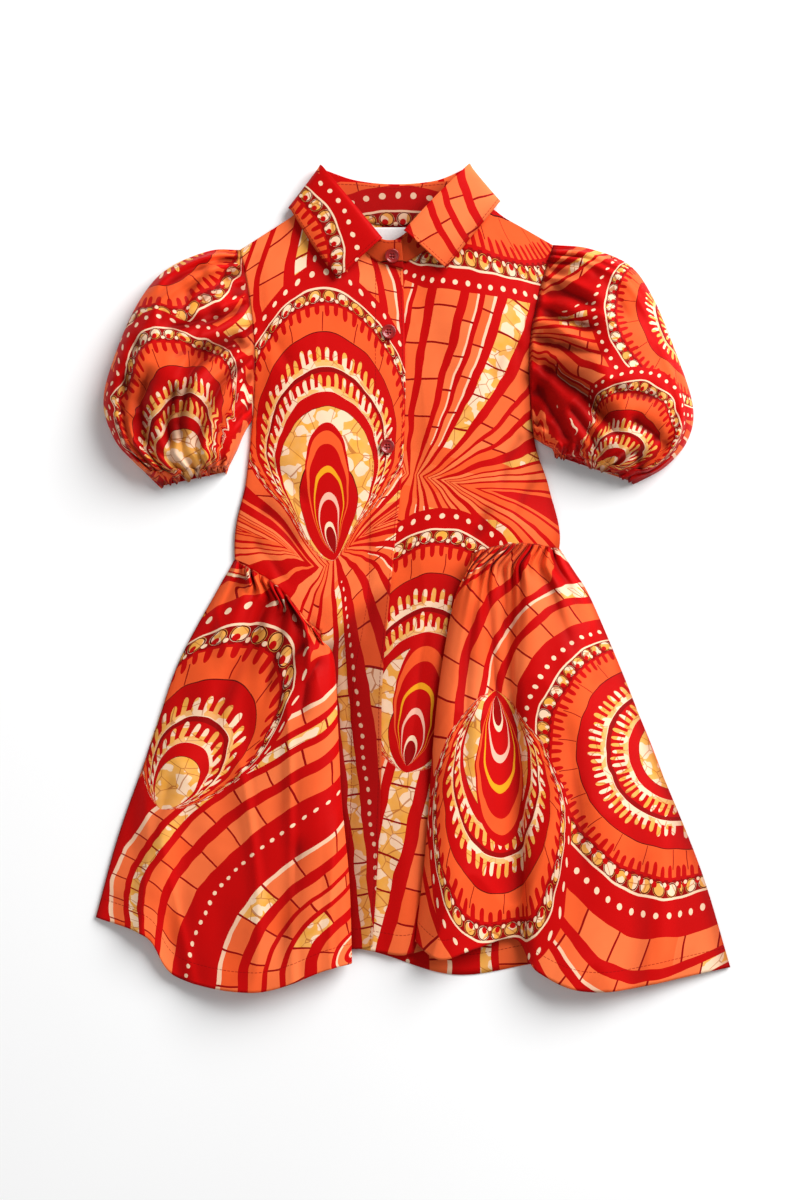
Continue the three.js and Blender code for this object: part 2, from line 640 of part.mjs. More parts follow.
const frontLeftColumns = ["outer", "side", "princess", "inner", "centre"];
const frontRightColumns = ["outer", "side", "princess", "inner", "overlap", "centre"];
const frontLeft = frontPiece(frontLeftRows, frontLeftColumns, 1);
const frontRight = frontPiece(frontRightRows, frontRightColumns, -1);
const back = backBodice();
const leftColumns = ["seam", "fold", "crest", "face", "valley", "outerCrest", "sideSeam"];
const rightColumns = ["seam", "fold", "crest", "slope", "valley", "ridge", "face", "sideSeam"];
const leftArmholes = [frontLeft.armhole, back.leftArmhole];
const rightArmholes = [frontRight.armhole, back.rightArmhole];
const leftSleeve = puffedSleeve(sleeveLeftRows, sleeveLeftCreases, leftArmholes, -1);
const rightSleeve = puffedSleeve(sleeveRightRows, sleeveRightCreases, rightArmholes, 1);
const collarSheet = onTable(tableSurface(collarRows, ["fold", "roll", "edge"]), collarCloth);
const standSheet = tableSurface(standRows, ["seam", "fold"]);

const dress = new THREE.Group();

function sew(name, geometry, color = printRed, roughness = 0.85) {
  const material = new THREE.MeshStandardMaterial({ color, roughness, metalness: 0 });
  const mesh = new THREE.Mesh(geometry, material);
  mesh.name = name;
  dress.add(mesh);
  return mesh;
}

// Puts a button on the cloth at (u, v) of its sheet, square to the cloth.
function sewButton(name, sheet, u, v) {
  const step = 0.02;
  const along = sheet(u + step, v).sub(sheet(u - step, v));
  const down = sheet(u, v + step).sub(sheet(u, v - step));
  const normal = along.cross(down).normalize();
  if (normal.z < 0) normal.negate();
  const mesh = sew(name, button(), buttonRed, 0.4);
  mesh.quaternion.setFromUnitVectors(new THREE.Vector3(0, 0, 1), normal);
  mesh.position.copy(sheet(u, v)).addScaledVector(normal, cloth / 2 + seamGap);
}

sew("back_bodice", back.geometry);
sew("back_skirt", backSkirt());
sew("front_left", frontLeft.geometry);
sew("front_right", frontRight.geometry);
sew("skirt_side_left", sidePanel(skirtLeftRows, leftColumns, frontLeft, 1));
sew("skirt_side_right", sidePanel(skirtRightRows, rightColumns, frontRight, -1));
for (const { name, geometry } of leftSleeve) sew(`sleeve_left_${name}`, geometry);
for (const { name, geometry } of rightSleeve) sew(`sleeve_right_${name}`, geometry);
sew("collar", clothWall(collarSheet, { columns: 4, rows: 40, thickness: collarCloth, face: 1 }));
sew("collar_stand", clothWall(standSheet, { columns: 2, rows: 36, face: -1 }));
sew("neck_label", new THREE.BoxGeometry(...labelSize), labelWhite, 0.9).position.set(...labelPlace);
sewButton("button_1", standSheet, 0.42, 0.034);
sewButton("button_2", frontLeft.sheet, 0.9, 0.192);
sewButton("button_3", frontLeft.sheet, 0.897, 0.387);

// The frame's origin is under the middle of the dress, on the table.
const box = new THREE.Box3().setFromObject(dress);
const middle = box.getCenter(new THREE.Vector3());
dress.position.set(-middle.x, -middle.y, -box.min.z);

export default dress;
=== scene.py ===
import math
import random

import bmesh
import bpy
import numpy as np
from mathutils import Matrix, Vector


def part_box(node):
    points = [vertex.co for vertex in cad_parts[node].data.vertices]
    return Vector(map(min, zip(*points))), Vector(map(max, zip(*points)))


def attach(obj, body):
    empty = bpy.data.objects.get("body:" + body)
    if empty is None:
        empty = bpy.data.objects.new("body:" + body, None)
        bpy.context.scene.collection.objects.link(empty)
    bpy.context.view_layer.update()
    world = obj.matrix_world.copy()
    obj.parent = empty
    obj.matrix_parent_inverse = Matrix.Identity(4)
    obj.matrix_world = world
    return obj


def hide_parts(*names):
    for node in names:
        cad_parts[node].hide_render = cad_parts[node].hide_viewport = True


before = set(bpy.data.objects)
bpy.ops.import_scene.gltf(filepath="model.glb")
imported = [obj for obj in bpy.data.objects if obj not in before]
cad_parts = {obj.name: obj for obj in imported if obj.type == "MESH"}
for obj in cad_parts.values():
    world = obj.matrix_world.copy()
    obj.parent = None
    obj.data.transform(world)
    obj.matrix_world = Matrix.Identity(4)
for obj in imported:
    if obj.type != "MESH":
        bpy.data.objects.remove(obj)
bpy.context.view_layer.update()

# A child's shirt dress in wax-print cotton, lying face up on a table and seen from straight above.
# The tables are in millimetres of the plan, the meshes in metres of the frame.

mm = 0.001
clothThickness = 0.9 * mm
collarThickness = 1.5 * mm
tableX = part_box("back_skirt")[0].x / mm + 253      # from the plan's numbers to the frame's
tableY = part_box("back_skirt")[0].y / mm + 317
toFrame = np.array([tableX, tableY, 0.0])
scene = bpy.context.scene


# Curves and surfaces

def smooth(t):
    t = np.clip(t, 0, 1)
    return t * t * (3 - 2 * t)


def mix(a, b, t):
    return a + (b - a) * t


def curveAt(points, t):     # the smooth curve through evenly numbered points, t from 0 to 1
    points = np.asarray(points, float)
    ends = np.concatenate([[2 * points[0] - points[1]], points, [2 * points[-1] - points[-2]]])
    place = np.clip(t, 0, 1) * (len(points) - 1)
    k = np.minimum(place.astype(int), len(points) - 2)
    w = (place - k).reshape((-1,) + (1,) * (points.ndim - 1))
    a, b, c, d = (ends[k + n] for n in range(4))
    first, last = (c - a) / 2, (d - b) / 2
    return b + first * w + (3 * (c - b) - 2 * first - last) * w**2 + (2 * (b - c) + first + last) * w**3


def surfaceGrid(rows, us, vs):      # across the columns by us, down the rows by vs
    lines = curveAt(rows, np.asarray(vs, float))
    return curveAt(lines.swapaxes(0, 1), np.asarray(us, float))


def surfacePoint(rows, u, v):
    return surfaceGrid(rows, [u], [v])[0, 0]


def creaseDepth(creases, x, y):     # each crease: its line on the plan, depth and width in mm
    total = np.zeros_like(x)
    for path, depth, width in creases:
        best = np.full_like(x, 1e9)
        place = np.zeros_like(x)
        for k in range(len(path) - 1):
            (ax, ay), (bx, by) = path[k], path[k + 1]
            length = (bx - ax) ** 2 + (by - ay) ** 2
            t = np.clip(((x - ax) * (bx - ax) + (y - ay) * (by - ay)) / length, 0, 1)
            away = np.hypot(x - mix(ax, bx, t), y - mix(ay, by, t))
            nearer = away < best
            best = np.where(nearer, away, best)
            place = np.where(nearer, (k + t) / (len(path) - 1), place)
        total += depth * smooth(place * 5) * smooth((1 - place) * 3) * np.exp(-((best / width) ** 1.5))
    return total


def unevenGathers(seed, count, height, reach):      # gathers along an edge: place, width, height, length
    pick = random.Random(seed)
    made = []
    for n in range(count):
        at = (n + 0.5 + pick.uniform(-0.3, 0.3)) / count
        wide, high = pick.uniform(0.16, 0.34) / count, height * pick.uniform(0.5, 1.3)
        made.append((at, wide, high, reach * pick.uniform(0.4, 1.4)))
    return made


def gatherHeight(gathers, u, v):        # v is the share of the way from the gathered edge
    total = np.zeros(np.broadcast(u, v).shape)
    for at, width, height, reach in gathers:
        spread = width * (1 + 0.8 * v)
        total += height * np.exp(-(((u - at) / spread) ** 2)) * (1 - smooth(v / reach))
    return total


def ripple(x, y, size, seed):       # a soft, uneven wave of about 1 high, for cloth that isn't quite smooth
    pick = random.Random(seed)
    total = np.zeros_like(x)
    for n in range(5):
        angle, phase = pick.uniform(0, math.pi), pick.uniform(0, 6.28)
        pitch = size * pick.uniform(0.6, 1.5)
        total += np.sin((x * math.cos(angle) + y * math.sin(angle)) * 6.283 / pitch + phase)
    return total / 3


def crumple(x, y, size, seed):      # soft folds with sharper ridges, from 0 to about 1 high
    return np.clip(1 - np.abs(ripple(x, y, size, seed)) * 1.6, 0, 1) ** 1.5


def lengths(points, axis):      # of the cloth from its first line on
    steps = np.linalg.norm(np.diff(points, axis=axis), axis=2)
    return np.insert(np.cumsum(steps, axis=axis), 0, 0, axis=axis)


def lengthsTo(points, axis):        # and on to its last line
    return np.flip(lengths(np.flip(points, axis), axis), axis)


def flatCloth(points, middle, last=-1):     # points as they lay when flat, and lengths from the middle
    length = lengths(points, 0)
    length -= length[middle].copy()
    direction = points[last, :, :2] - points[0, :, :2]
    direction /= np.maximum(np.linalg.norm(direction, axis=1, keepdims=True), 1e-6)
    return points[middle, :, :2] + direction * length[:, :, None], length


foldBlur = 26       # rounds of blur that even out the cloth round a fold
foldDepth = 1.5     # mm below its surroundings at which a fold's painted shade is darkest


def foldMap(points, paintedShade):     # two channels of painted shade: 1 where the cloth dips into a fold, 0 elsewhere; and the painted shade given, as along a seam
    height = points[..., 2]
    soft = height.copy()
    for _ in range(foldBlur):
        wide = np.pad(soft, 1, mode="edge")
        soft = (wide[:-2, 1:-1] + wide[2:, 1:-1] + wide[1:-1, :-2] + wide[1:-1, 2:] + 2 * soft) / 6
    depth = np.clip((soft - height) / foldDepth, 0, 1)
    return np.stack([depth, np.zeros_like(depth) + paintedShade], axis=-1)


def gridSteps(count):
    return np.linspace(0, 1, count + 1)


def panelGrid(panel):       # shares across and down a panel, and its points in mm
    us, vs = gridSteps(panel["across"]), gridSteps(panel["down"])
    return us[:, None], vs[None, :], surfaceGrid(panel["rows"], us, vs)


def asMaps(**maps):
    return {key: np.asarray(value) * mm for key, value in maps.items()}


def edgeMap(along, away):       # a map for stitches: length along an edge and distance from it
    return np.stack(np.broadcast_arrays(along, away), axis=-1)


# Meshes

def finishMesh(name, bm, rounded=True):
    for face in bm.faces:
        face.smooth = rounded
    mesh = bpy.data.meshes.new(name)
    bm.to_mesh(mesh)
    bm.free()
    piece = bpy.data.objects.new(name, mesh)
    scene.collection.objects.link(piece)
    return piece


def dressPiece(piece, material, slot, *nodes, thickness=0.0):
    if thickness:
        wall = piece.modifiers.new("wall", "SOLIDIFY")
        wall.thickness = thickness
        wall.offset = 0.0
        wall.use_rim = True
    piece.data.materials.append(material)
    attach(piece, "root")
    if nodes:
        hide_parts(*nodes)


def makeCloth(node, points, maps, material, parts=("",), slot="wax_print_cotton", thickness=clothThickness,
              keep=None, ring=False, paintedShade=0.0):
    # points: a grid in mm of the plan; maps: UV maps in metres; ring: the first line is joined to the last;
    # the last argument is painted shade, 0 to 1
    across, down = points.shape[0] - 1, points.shape[1] - 1
    bm = bmesh.new()
    bmesh.ops.create_grid(bm, x_segments=across, y_segments=down, size=1)
    maps = maps | {"fold": foldMap(points, paintedShade)}
    layers = {key: bm.loops.layers.uv.new(key) for key in maps}
    placed = (points + toFrame) * mm
    cell = {}
    for vertex in bm.verts:
        i = round((vertex.co.x + 1) / 2 * across)
        j = round((1 - vertex.co.y) / 2 * down)
        cell[vertex] = (i, j)
        vertex.co = placed[i, j]
    if keep is not None:
        gone = [face for face in bm.faces if not keep(*map(min, zip(*(cell[v] for v in face.verts))))]
        bmesh.ops.delete(bm, geom=gone, context="FACES")
    for face in bm.faces:
        for loop in face.loops:
            for key, layer in layers.items():
                loop[layer].uv = maps[key][cell[loop.vert]]
    if ring:
        edge = [v for v in bm.verts if cell[v][0] in (0, across)]
        bmesh.ops.remove_doubles(bm, verts=edge, dist=0.01 * mm)
    bm.normal_update()
    highest = max(bm.faces, key=lambda face: face.calc_center_median().z)
    if highest.normal.z <= 0:
        bmesh.ops.reverse_faces(bm, faces=bm.faces)
    piece = finishMesh("cloth_" + node, bm)
    dressPiece(piece, material, slot, *(node + part for part in parts), thickness=thickness)


# Shaders. A Term is a value in a node tree: sums with it add Math nodes, a comparison gives a mask of 0 or 1.

class Term:
    def __init__(self, node, output=0):
        self.tree = node.id_data
        self.socket = node.outputs[output]

    def __add__(self, other):
        return calc("ADD", self, other)

    def __sub__(self, other):
        return calc("SUBTRACT", self, other)

    def __rsub__(self, other):
        return calc("SUBTRACT", other, self)

    def __mul__(self, other):
        return calc("MULTIPLY", self, other)

    def __truediv__(self, other):
        return calc("DIVIDE", self, other)

    def __pow__(self, other):
        return calc("POWER", self, other)

    def __lt__(self, other):
        return calc("LESS_THAN", self, other)

    def __gt__(self, other):
        return calc("GREATER_THAN", self, other)

    def __abs__(self):
        return calc("ABSOLUTE", self)


def link(socket, value):
    if isinstance(value, Term):
        value.tree.links.new(value.socket, socket)
    else:
        socket.default_value = value


def addNode(kind, inputs, output=0, **settings):        # inputs by name or number
    tree = next(value.tree for value in inputs.values() if isinstance(value, Term))
    node = tree.nodes.new("ShaderNode" + kind)
    for key, value in settings.items():
        setattr(node, key, value)
    for key, value in inputs.items():
        link(node.inputs[key], value)
    return Term(node, output)


def calc(operation, *values):
    return addNode("Math", dict(enumerate(values)), operation=operation)


def between(value, low, high):
    return (value > low) * (value < high)


def paint(below, colour, mask, blend="MIX"):
    return addNode("Mix", {0: mask, 6: below, 7: colour}, 2, data_type="RGBA", blend_type=blend)


def combine(x, y, z=0.0):
    return addNode("CombineXYZ", {0: x, 1: y, 2: z})


def separate(vector):
    x = addNode("SeparateXYZ", {0: vector})
    return x, Term(x.socket.node, 1)


def randomOf(x, y, z=0.0):
    return addNode("TexWhiteNoise", {"Vector": combine(x, y, z)}, "Value", noise_dimensions="3D")


def noise(vector, scale, detail, output="Fac"):
    return addNode("TexNoise", {"Vector": vector, "Scale": scale, "Detail": detail}, output)


def cells(vector, scale, feature):
    return addNode("TexVoronoi", {"Vector": vector, "Scale": scale}, "Distance", feature=feature)


def scaled(vector, factor):
    return addNode("VectorMath", {0: vector, "Scale": factor}, operation="SCALE")


def addVectors(a, b):
    return addNode("VectorMath", {0: a, 1: b}, operation="ADD")


def uvMap(tree, name):
    node = tree.nodes.new("ShaderNodeUVMap")
    node.uv_map = name
    return Term(node)


def colourSteps(value, first, steps):       # flat colours, each from its own start on
    made = addNode("ValToRGB", {0: value})
    ramp = made.socket.node.color_ramp
    ramp.interpolation = "CONSTANT"
    ramp.elements[0].position, ramp.elements[0].color = 0.0, dyes[first]
    ramp.elements.remove(ramp.elements[1])
    for start, dye in steps:
        ramp.elements.new(start).color = dyes[dye]
    return made


def group(name, *labels):       # a node group that turns these inputs into one colour
    tree = bpy.data.node_groups.new(name, "ShaderNodeTree")
    for label in labels:
        kind = "NodeSocketVector" if label == "Place" else "NodeSocketFloat"
        tree.interface.new_socket(label, in_out="INPUT", socket_type=kind)
    tree.interface.new_socket("Color", in_out="OUTPUT", socket_type="NodeSocketColor")
    given = tree.nodes.new("NodeGroupInput")
    return [Term(given, label) for label in labels]


def closeGroup(colour):
    link(colour.tree.nodes.new("NodeGroupOutput").inputs["Color"], colour)
    return colour.tree


def useGroup(made, values):     # it takes those of the values that it has inputs for
    labels = [item.name for item in made.interface.items_tree if item.in_out == "INPUT"]
    node = values["Place"].tree.nodes.new("ShaderNodeGroup")
    node.node_tree = made
    for label in labels:
        link(node.inputs[label], values[label])
    return Term(node)


def shade(hexColour):       # a screen colour as the linear one that the nodes take
    parts = [int(hexColour[k:k + 2], 16) / 255 for k in (0, 2, 4)]
    return tuple(c / 12.92 if c < 0.04 else ((c + 0.055) / 1.055) ** 2.4 for c in parts) + (1.0,)


def bumpedMaterial(name):       # a new material with its shader, and the function that adds its bump
    material = bpy.data.materials.new(name)
    material.use_nodes = True
    shader = material.node_tree.nodes["Principled BSDF"]

    def addBump(height, strength, distance):
        values = {"Strength": strength, "Distance": distance * mm, "Height": height}
        link(shader.inputs["Normal"], addNode("Bump", values))

    return material, shader.inputs, addBump


dyes = {name: shade(code) for name, code in {
    "red": "C10000", "deepRed": "930000", "maroon": "5E0503", "orange": "F05826", "paleOrange": "F87B45",
    "yellow": "EEA01A", "cream": "F8D3B0", "pink": "F2B79E", "crack": "B4622A",
}.items()}
inFold = (0.3, 0.14, 0.12, 1)       # what a fold leaves of the light

# The print. Every motif is a family of curves round its own centre: drops that meet at a tip, fans of circles
# through a knot, or rings. "ring" counts from 0 at the centre to 1 at the motif's outer line.

design = {
    "dots": (6.4, 11.0, 2.1),       # distance from the outer line, pitch and radius, in mm
    "beads": (23.0, 12.0, 5.2),
    "fingers": (29.0, 40.0, 7.4),       # base, tip and pitch
    "outerComb": (76.0, 63.0, 6.6),
    "innerComb": (96.0, 84.0, 6.0),
    "toothWidth": 0.27,     # half of it, as a share of the pitch
    "depth": 200.0,
    "rings": [      # where each colour starts, from the outer line inwards
        (16.2, "cream"), (17.6, "deepRed"), (29, "red"), (31, "orange"), (52, "maroon"), (52.6, "red"),
        (75, "cream"), (79, "deepRed"), (83, "red"), (95, "cream"), (99, "red"), (109, "maroon"),
        (109.8, "cream"), (150, "maroon"), (151.2, "red"),
    ],
    "crackled": [(109.8, 150.0, 1.0), (75.0, 79.0, 0.8), (95.0, 99.0, 0.8)],        # from, to and how much
}

flameLines = [      # where each colour starts, from the middle out
    (0.2, "cream"), (0.24, "red"), (0.4, "pink"), (0.45, "red"),
    (0.6, "yellow"), (0.65, "red"), (0.82, "orange"), (0.93, "red"),
]

bricks = {
    "length": 27.0,
    "line": 0.27,           # share of a band that its red line takes, and more by chance
    "crossLine": 0.055,
    "band": 19.0,           # width of a band along which the bricks keep their length
    "uneven": 0.22,         # how far the bands' edges stray, in bands
    "wideFrom": 0.42,       # a pinched motif's bands are plain where they are drawn together more than this
    "red": 0.27,            # bands whose chance is below this are red, and below the next one dotted too
    "dotted": 0.14,
    "edged": (0.66, 0.8),       # these have a cream edge, and those above are crackled
    "crackledBrick": 0.93,
}


def makeCrackle():      # yellow ground with round cream blots and thin dark cracks
    [place] = group("crackle", "Place")
    blot = noise(place, 0.1, 1.0)
    colour = paint(dyes["yellow"], dyes["cream"], blot * 0.35)
    colour = paint(colour, dyes["cream"], cells(place, 0.085, "F1") < blot * 0.95)
    crack = cells(place, 0.06, "DISTANCE_TO_EDGE") < 0.018
    return closeGroup(paint(colour, dyes["crack"], crack * 0.75))


def comb(depth, turns, spec, seed):     # teeth along a ring: 1 inside a tooth
    base, tip, pitch = spec
    count = turns / pitch
    index = calc("FLOOR", count)
    reach = calc("MULTIPLY_ADD", randomOf(index, seed), 0.3, 0.8)
    along = (depth - base) / (tip - base) / reach
    side = abs(count - index - 0.5)
    room = 1.0 - calc("MAXIMUM", along, 0.0) ** 5.0
    width = calc("MAXIMUM", room, 0.0) ** 0.5 * design["toothWidth"]
    bulb = calc("MULTIPLY_ADD", calc("SINE", along * 5.0), -0.05, 1.0)
    return (side < width * bulb) * between(along, -0.02, 1.0)


def makeFlame():        # nested outlines, as in the heart of a drop
    [ring] = group("flame", "Ring")
    return closeGroup(colourSteps(ring, "deepRed", flameLines))


def makeRings():        # the rings, combs, beads and dots of a drop
    ring, angle, size, place = group("rings", "Ring", "Angle", "Size", "Place")
    depth = (1.0 - ring) * size
    span = design["depth"]
    colour = colourSteps(depth / span, "red", [(start / span, dye) for start, dye in design["rings"]])
    pale = useGroup(crackle, {"Place": place})

    def turnsAt(distance):      # length along the ring that lies this far in
        return angle * (size - distance)

    def spot(middle, pitch, shift):     # distance in mm from the nearest of a row of spots
        count = turnsAt(middle) / pitch + shift
        vector = combine((calc("FRACT", count) - 0.5) * pitch, depth - middle)
        return addNode("VectorMath", {0: vector}, "Value", operation="LENGTH")

    for low, high, much in design["crackled"]:
        colour = paint(colour, pale, between(depth, low, high) * much)
    for key, seed in (("outerComb", 1.5), ("innerComb", 2.5)):
        colour = paint(colour, pale, comb(depth, turnsAt(design[key][0]), design[key], seed))
    colour = paint(colour, dyes["red"], comb(depth, turnsAt(35.0), design["fingers"], 7.5))
    cross = calc("FRACT", turnsAt(45.0) / bricks["length"]) < 0.03
    colour = paint(colour, dyes["deepRed"], cross * between(depth, 36.0, 52.0))
    middle, pitch, radius = design["beads"]
    bead = spot(middle, pitch, 0.0)
    colour = paint(colour, pale, bead < radius)
    colour = paint(colour, dyes["maroon"], between(bead, radius - 1.0, radius - 0.2))
    colour = paint(colour, dyes["red"], spot(middle + 2.2, pitch, 0.08) < 2.2)
    colour = paint(colour, dyes["cream"], spot(middle + 3.6, pitch, 0.5) < 1.5)
    middle, pitch, radius = design["dots"]
    return closeGroup(paint(colour, dyes["cream"], spot(middle, pitch, 0.3) < radius))


def makeBricks():       # bands with red lines between them, cut across into bricks
    labels = ("Ring", "Angle", "Size", "Place", "Seed", "Spread", "Crackle")
    ring, angle, size, place, seed, spread, crackled = group("bricks", *labels)
    straight = spread > 0.01        # bands along y, pinched where spread is small
    wide = calc("MAXIMUM", 1.0 - straight, spread > bricks["wideFrom"])
    bands = ring * size     # size is the number of bands out to the motif's outer line
    bands = bands + calc("SINE", calc("MULTIPLY_ADD", bands, 1.9, seed)) * bricks["uneven"]
    index = calc("FLOOR", bands)
    share = bands - index
    chance = randomOf(index, seed)
    along = addNode("Mix", {0: straight, 2: angle * (index + 0.5), 3: angle * size})
    count = calc("MULTIPLY_ADD", along, bricks["band"] / bricks["length"], chance * 9.0)
    brick = randomOf(index, calc("FLOOR", count), seed)
    colour = paint(dyes["orange"], dyes["paleOrange"], brick)
    edgedFrom, edgedTo = bricks["edged"]
    pale = calc("MAXIMUM", chance > edgedTo, brick > bricks["crackledBrick"]) * wide * crackled
    colour = paint(colour, useGroup(crackle, {"Place": place}), pale)
    edged = between(chance, edgedFrom, edgedTo) * (share > 0.86) * wide
    colour = paint(colour, dyes["cream"], edged * 0.85)
    colour = paint(colour, dyes["deepRed"], (calc("FRACT", count) < bricks["crossLine"]) * wide)
    colour = paint(colour, dyes["red"], chance < bricks["red"])
    dotX = calc("FRACT", count * 3.0) - 0.5
    dotY = (share - 0.52) * 1.9
    dot = (dotX * dotX + dotY * dotY < 0.045) * (chance < bricks["dotted"]) * wide
    colour = paint(colour, dyes["cream"], dot)
    line = chance * chance * 0.2 + bricks["line"]
    return closeGroup(paint(colour, dyes["red"], share < line))


crackle = makeCrackle()
motifKinds = {"rings": makeRings(), "bricks": makeBricks(), "flame": makeFlame()}
fanWidth = 1.25     # the larger, the straighter the bands of a pinched motif


def motifField(place, motif):       # ring, angle and spread of one motif at a place in the flat cloth
    reach = motif["reach"]
    x, y = separate(addNode("Mapping", {
        "Location": (*motif["at"], 0),
        "Rotation": (0, 0, math.radians(motif.get("turn", 0))),
        "Scale": (reach * motif.get("width", 1), reach, 1),
        "Vector": place,
    }, vector_type="TEXTURE"))
    if "pinch" in motif:        # bands along y that draw together at the motif's place
        spread = calc("MULTIPLY_ADD", calc("EXPONENT", abs(y) / -motif["pinch"]), -0.86, 1.0)
        fan = calc("ARCTANGENT", x / (spread * fanWidth))
        return calc("MULTIPLY_ADD", fan, fanWidth, 20.0), y, spread
    radius = ring = calc("SQRT", x * x + y * y)
    if "point" in motif:
        ring = radius * (radius / calc("MAXIMUM", y, 1e-4)) ** float(motif["point"])
    return ring, calc("ARCTAN2", x, y), 0.0


def printColour(place, motifs):     # the first motif covers the panel, and the next ones lie over it
    colour = None
    for motif in motifs:
        ring, angle, spread = motifField(place, motif)
        made = useGroup(motifKinds[motif["kind"]], {
            "Ring": ring, "Angle": angle, "Size": float(motif.get("size", 1)), "Place": place,
            "Seed": float(motif.get("seed", 1)), "Spread": spread, "Crackle": motif.get("crackle", 1.0),
        })
        colour = paint(colour, made, ring < 1.0) if colour else made
    return colour


def weaveHeight(place):     # plain weave: warp over weft, with threads of uneven thickness
    x, y = separate(place)
    pitch = 2 * math.pi / 0.55      # a thread every 0.55 mm
    slub = noise(combine(x * 0.15, y), 0.9, 2.0)
    return calc("SINE", x * pitch) * calc("SINE", y * pitch) * 0.25 + slub


stitch = {"pitch": 3.2, "width": 0.32, "share": 0.72, "dip": 0.7}
buttonhole = {"width": 2.6, "length": 15.0}
clothLook = {
    "roughness": 0.52, "uneven": 0.16, "sheen": 0.02, "specular": 0.08,
    "weaveBump": 0.14, "bumpDistance": 0.35, "crinkle": 6.0, "wobble": 6.0, "foldShade": 0.8, "washed": 0.48,
}


def cottonMaterial(name, motifs, stitches=(), buttonholes=()):
    material, surface, addBump = bumpedMaterial(name)
    tree = material.node_tree
    flat = scaled(uvMap(tree, "flat"), 1 / mm)
    wobble = addVectors(noise(flat, 0.035, 1.5, "Color"), (-0.5, -0.5, -0.5))
    colour = printColour(addVectors(flat, scaled(wobble, clothLook["wobble"])), motifs)
    height = calc("MULTIPLY_ADD", noise(flat, 0.06, 2.0), clothLook["crinkle"], weaveHeight(flat))
    washed = calc("MAXIMUM", clothLook["washed"] - noise(flat, 0.02, 3.0), 0.0)
    colour = paint(colour, dyes["deepRed"], washed * 0.8)
    for mapName, distance in stitches:      # a row of stitches this many mm from the map's edge
        along, away = separate(scaled(uvMap(tree, mapName), 1 / mm))
        aside = abs(away - distance)
        inStitch = (aside < stitch["width"]) * (calc("FRACT", along / stitch["pitch"]) < stitch["share"])
        colour = paint(colour, dyes["deepRed"], inStitch * 0.75)
        height = height - (aside < stitch["dip"]) * 0.9 + inStitch * 1.2
    # Painted shade: the colour is multiplied towards inFold by the fold's depth and by the painted shade the
    # piece was given, the second channel, along seams, strips and creases
    fold, seam = separate(uvMap(tree, "fold"))
    darker = calc("MAXIMUM", fold, seam) * clothLook["foldShade"]
    colour = paint(colour, inFold, darker, "MULTIPLY")
    for at in buttonholes:      # a close row of thread round a slit along the placket
        x, y = separate(flat)
        x, y = abs(x - float(at[0])), abs(y - float(at[1]))
        sewn = (x < buttonhole["width"] / 2) * (y < buttonhole["length"] / 2)
        slit = (x < 0.25) * (y < buttonhole["length"] / 2 - 1)
        colour = paint(colour, paint(dyes["deepRed"], dyes["maroon"], slit), sewn)
        height = height + (sewn * 2.0 - slit * 3.0)
    link(surface["Base Color"], colour)
    grain = noise(flat, 0.4, 3.0)
    link(surface["Roughness"], calc("MULTIPLY_ADD", grain, clothLook["uneven"], clothLook["roughness"]))
    link(surface["Sheen Weight"], clothLook["sheen"])
    link(surface["Specular IOR Level"], clothLook["specular"])
    addBump(height, clothLook["weaveBump"], clothLook["bumpDistance"])
    return material


def plainMaterial(name, colour, roughness, coat=0.0, grainScale=900.0):
    material, surface, addBump = bumpedMaterial(name)
    coords = Term(material.node_tree.nodes.new("ShaderNodeTexCoord"), "Object")
    grain = noise(coords, grainScale, 3.0)
    darker = tuple(c * 0.6 for c in colour[:3]) + (1.0,)
    link(surface["Base Color"], paint(darker, colour, calc("MULTIPLY_ADD", grain, 0.9, 0.25)))
    link(surface["Roughness"], calc("MULTIPLY_ADD", grain, 0.2, roughness - 0.1))
    link(surface["Coat Weight"], coat)
    addBump(grain, 0.25, 0.05)
    return material


# Fronts: bodice and centre strip in one. Rows go from the shoulder down to the hem, columns from the armhole.

frontLeft = {
    "rows": [
        [(-138, 262, 2.9), (-100, 286, 4.8), (-75, 301, 5.0), (-47, 268, 8.6), (-8, 249, 8.8)],
        [(-131, 228, 7.5), (-98, 240, 10), (-70, 244, 10), (-40, 234, 9.5), (-7, 222, 7.4)],
        [(-126, 182, 9.5), (-96, 188, 12), (-68, 190, 11.5), (-38, 186, 10), (-6, 182, 7.4)],
        [(-128, 127, 2.9), (-98, 130, 10), (-68, 132, 11.5), (-38, 132, 10), (-6, 130, 7.4)],
        [(-133, 78, 2.3), (-102, 74, 9), (-70, 68, 11), (-40, 72, 9.5), (-9, 76, 7.4)],
        [(-142, 14, 2.3), (-107, -8, 9.0), (-73, -42, 6.5), (-44, -14, 7.6), (-16, 8, 7.2)],
        [(-70, -98, 3.4), (-45, -86, 6.0), (-24, -82, 6.8)],
        [(-67, -165, 3.2), (-44, -162, 6.0), (-25, -160, 6.6)],
        [(-60, -235, 3.2), (-43, -234, 6.2), (-28, -232, 6.6)],
        [(-56, -296, 3.2), (-43, -296, 6.0), (-32, -294, 6.6)],
    ],
    "across": 80, "down": 324, "stripAt": 0.5, "stripShade": 0.75,
    "creases": [
        ([(-118, 96), (-96, 78), (-80, 52)], 2.0, 8),
        ([(-126, 60), (-104, 44), (-84, 14)], 2.4, 7),
        ([(-124, 200), (-106, 186), (-92, 160)], 1.8, 8),
        ([(-130, 34), (-112, 14), (-94, -12)], 2.0, 6),
        ([(-60, -30), (-52, -90), (-50, -150), (-46, -220)], 2.2, 6),
        ([(-36, 60), (-34, 0), (-38, -60)], 1.6, 6),
    ],
}

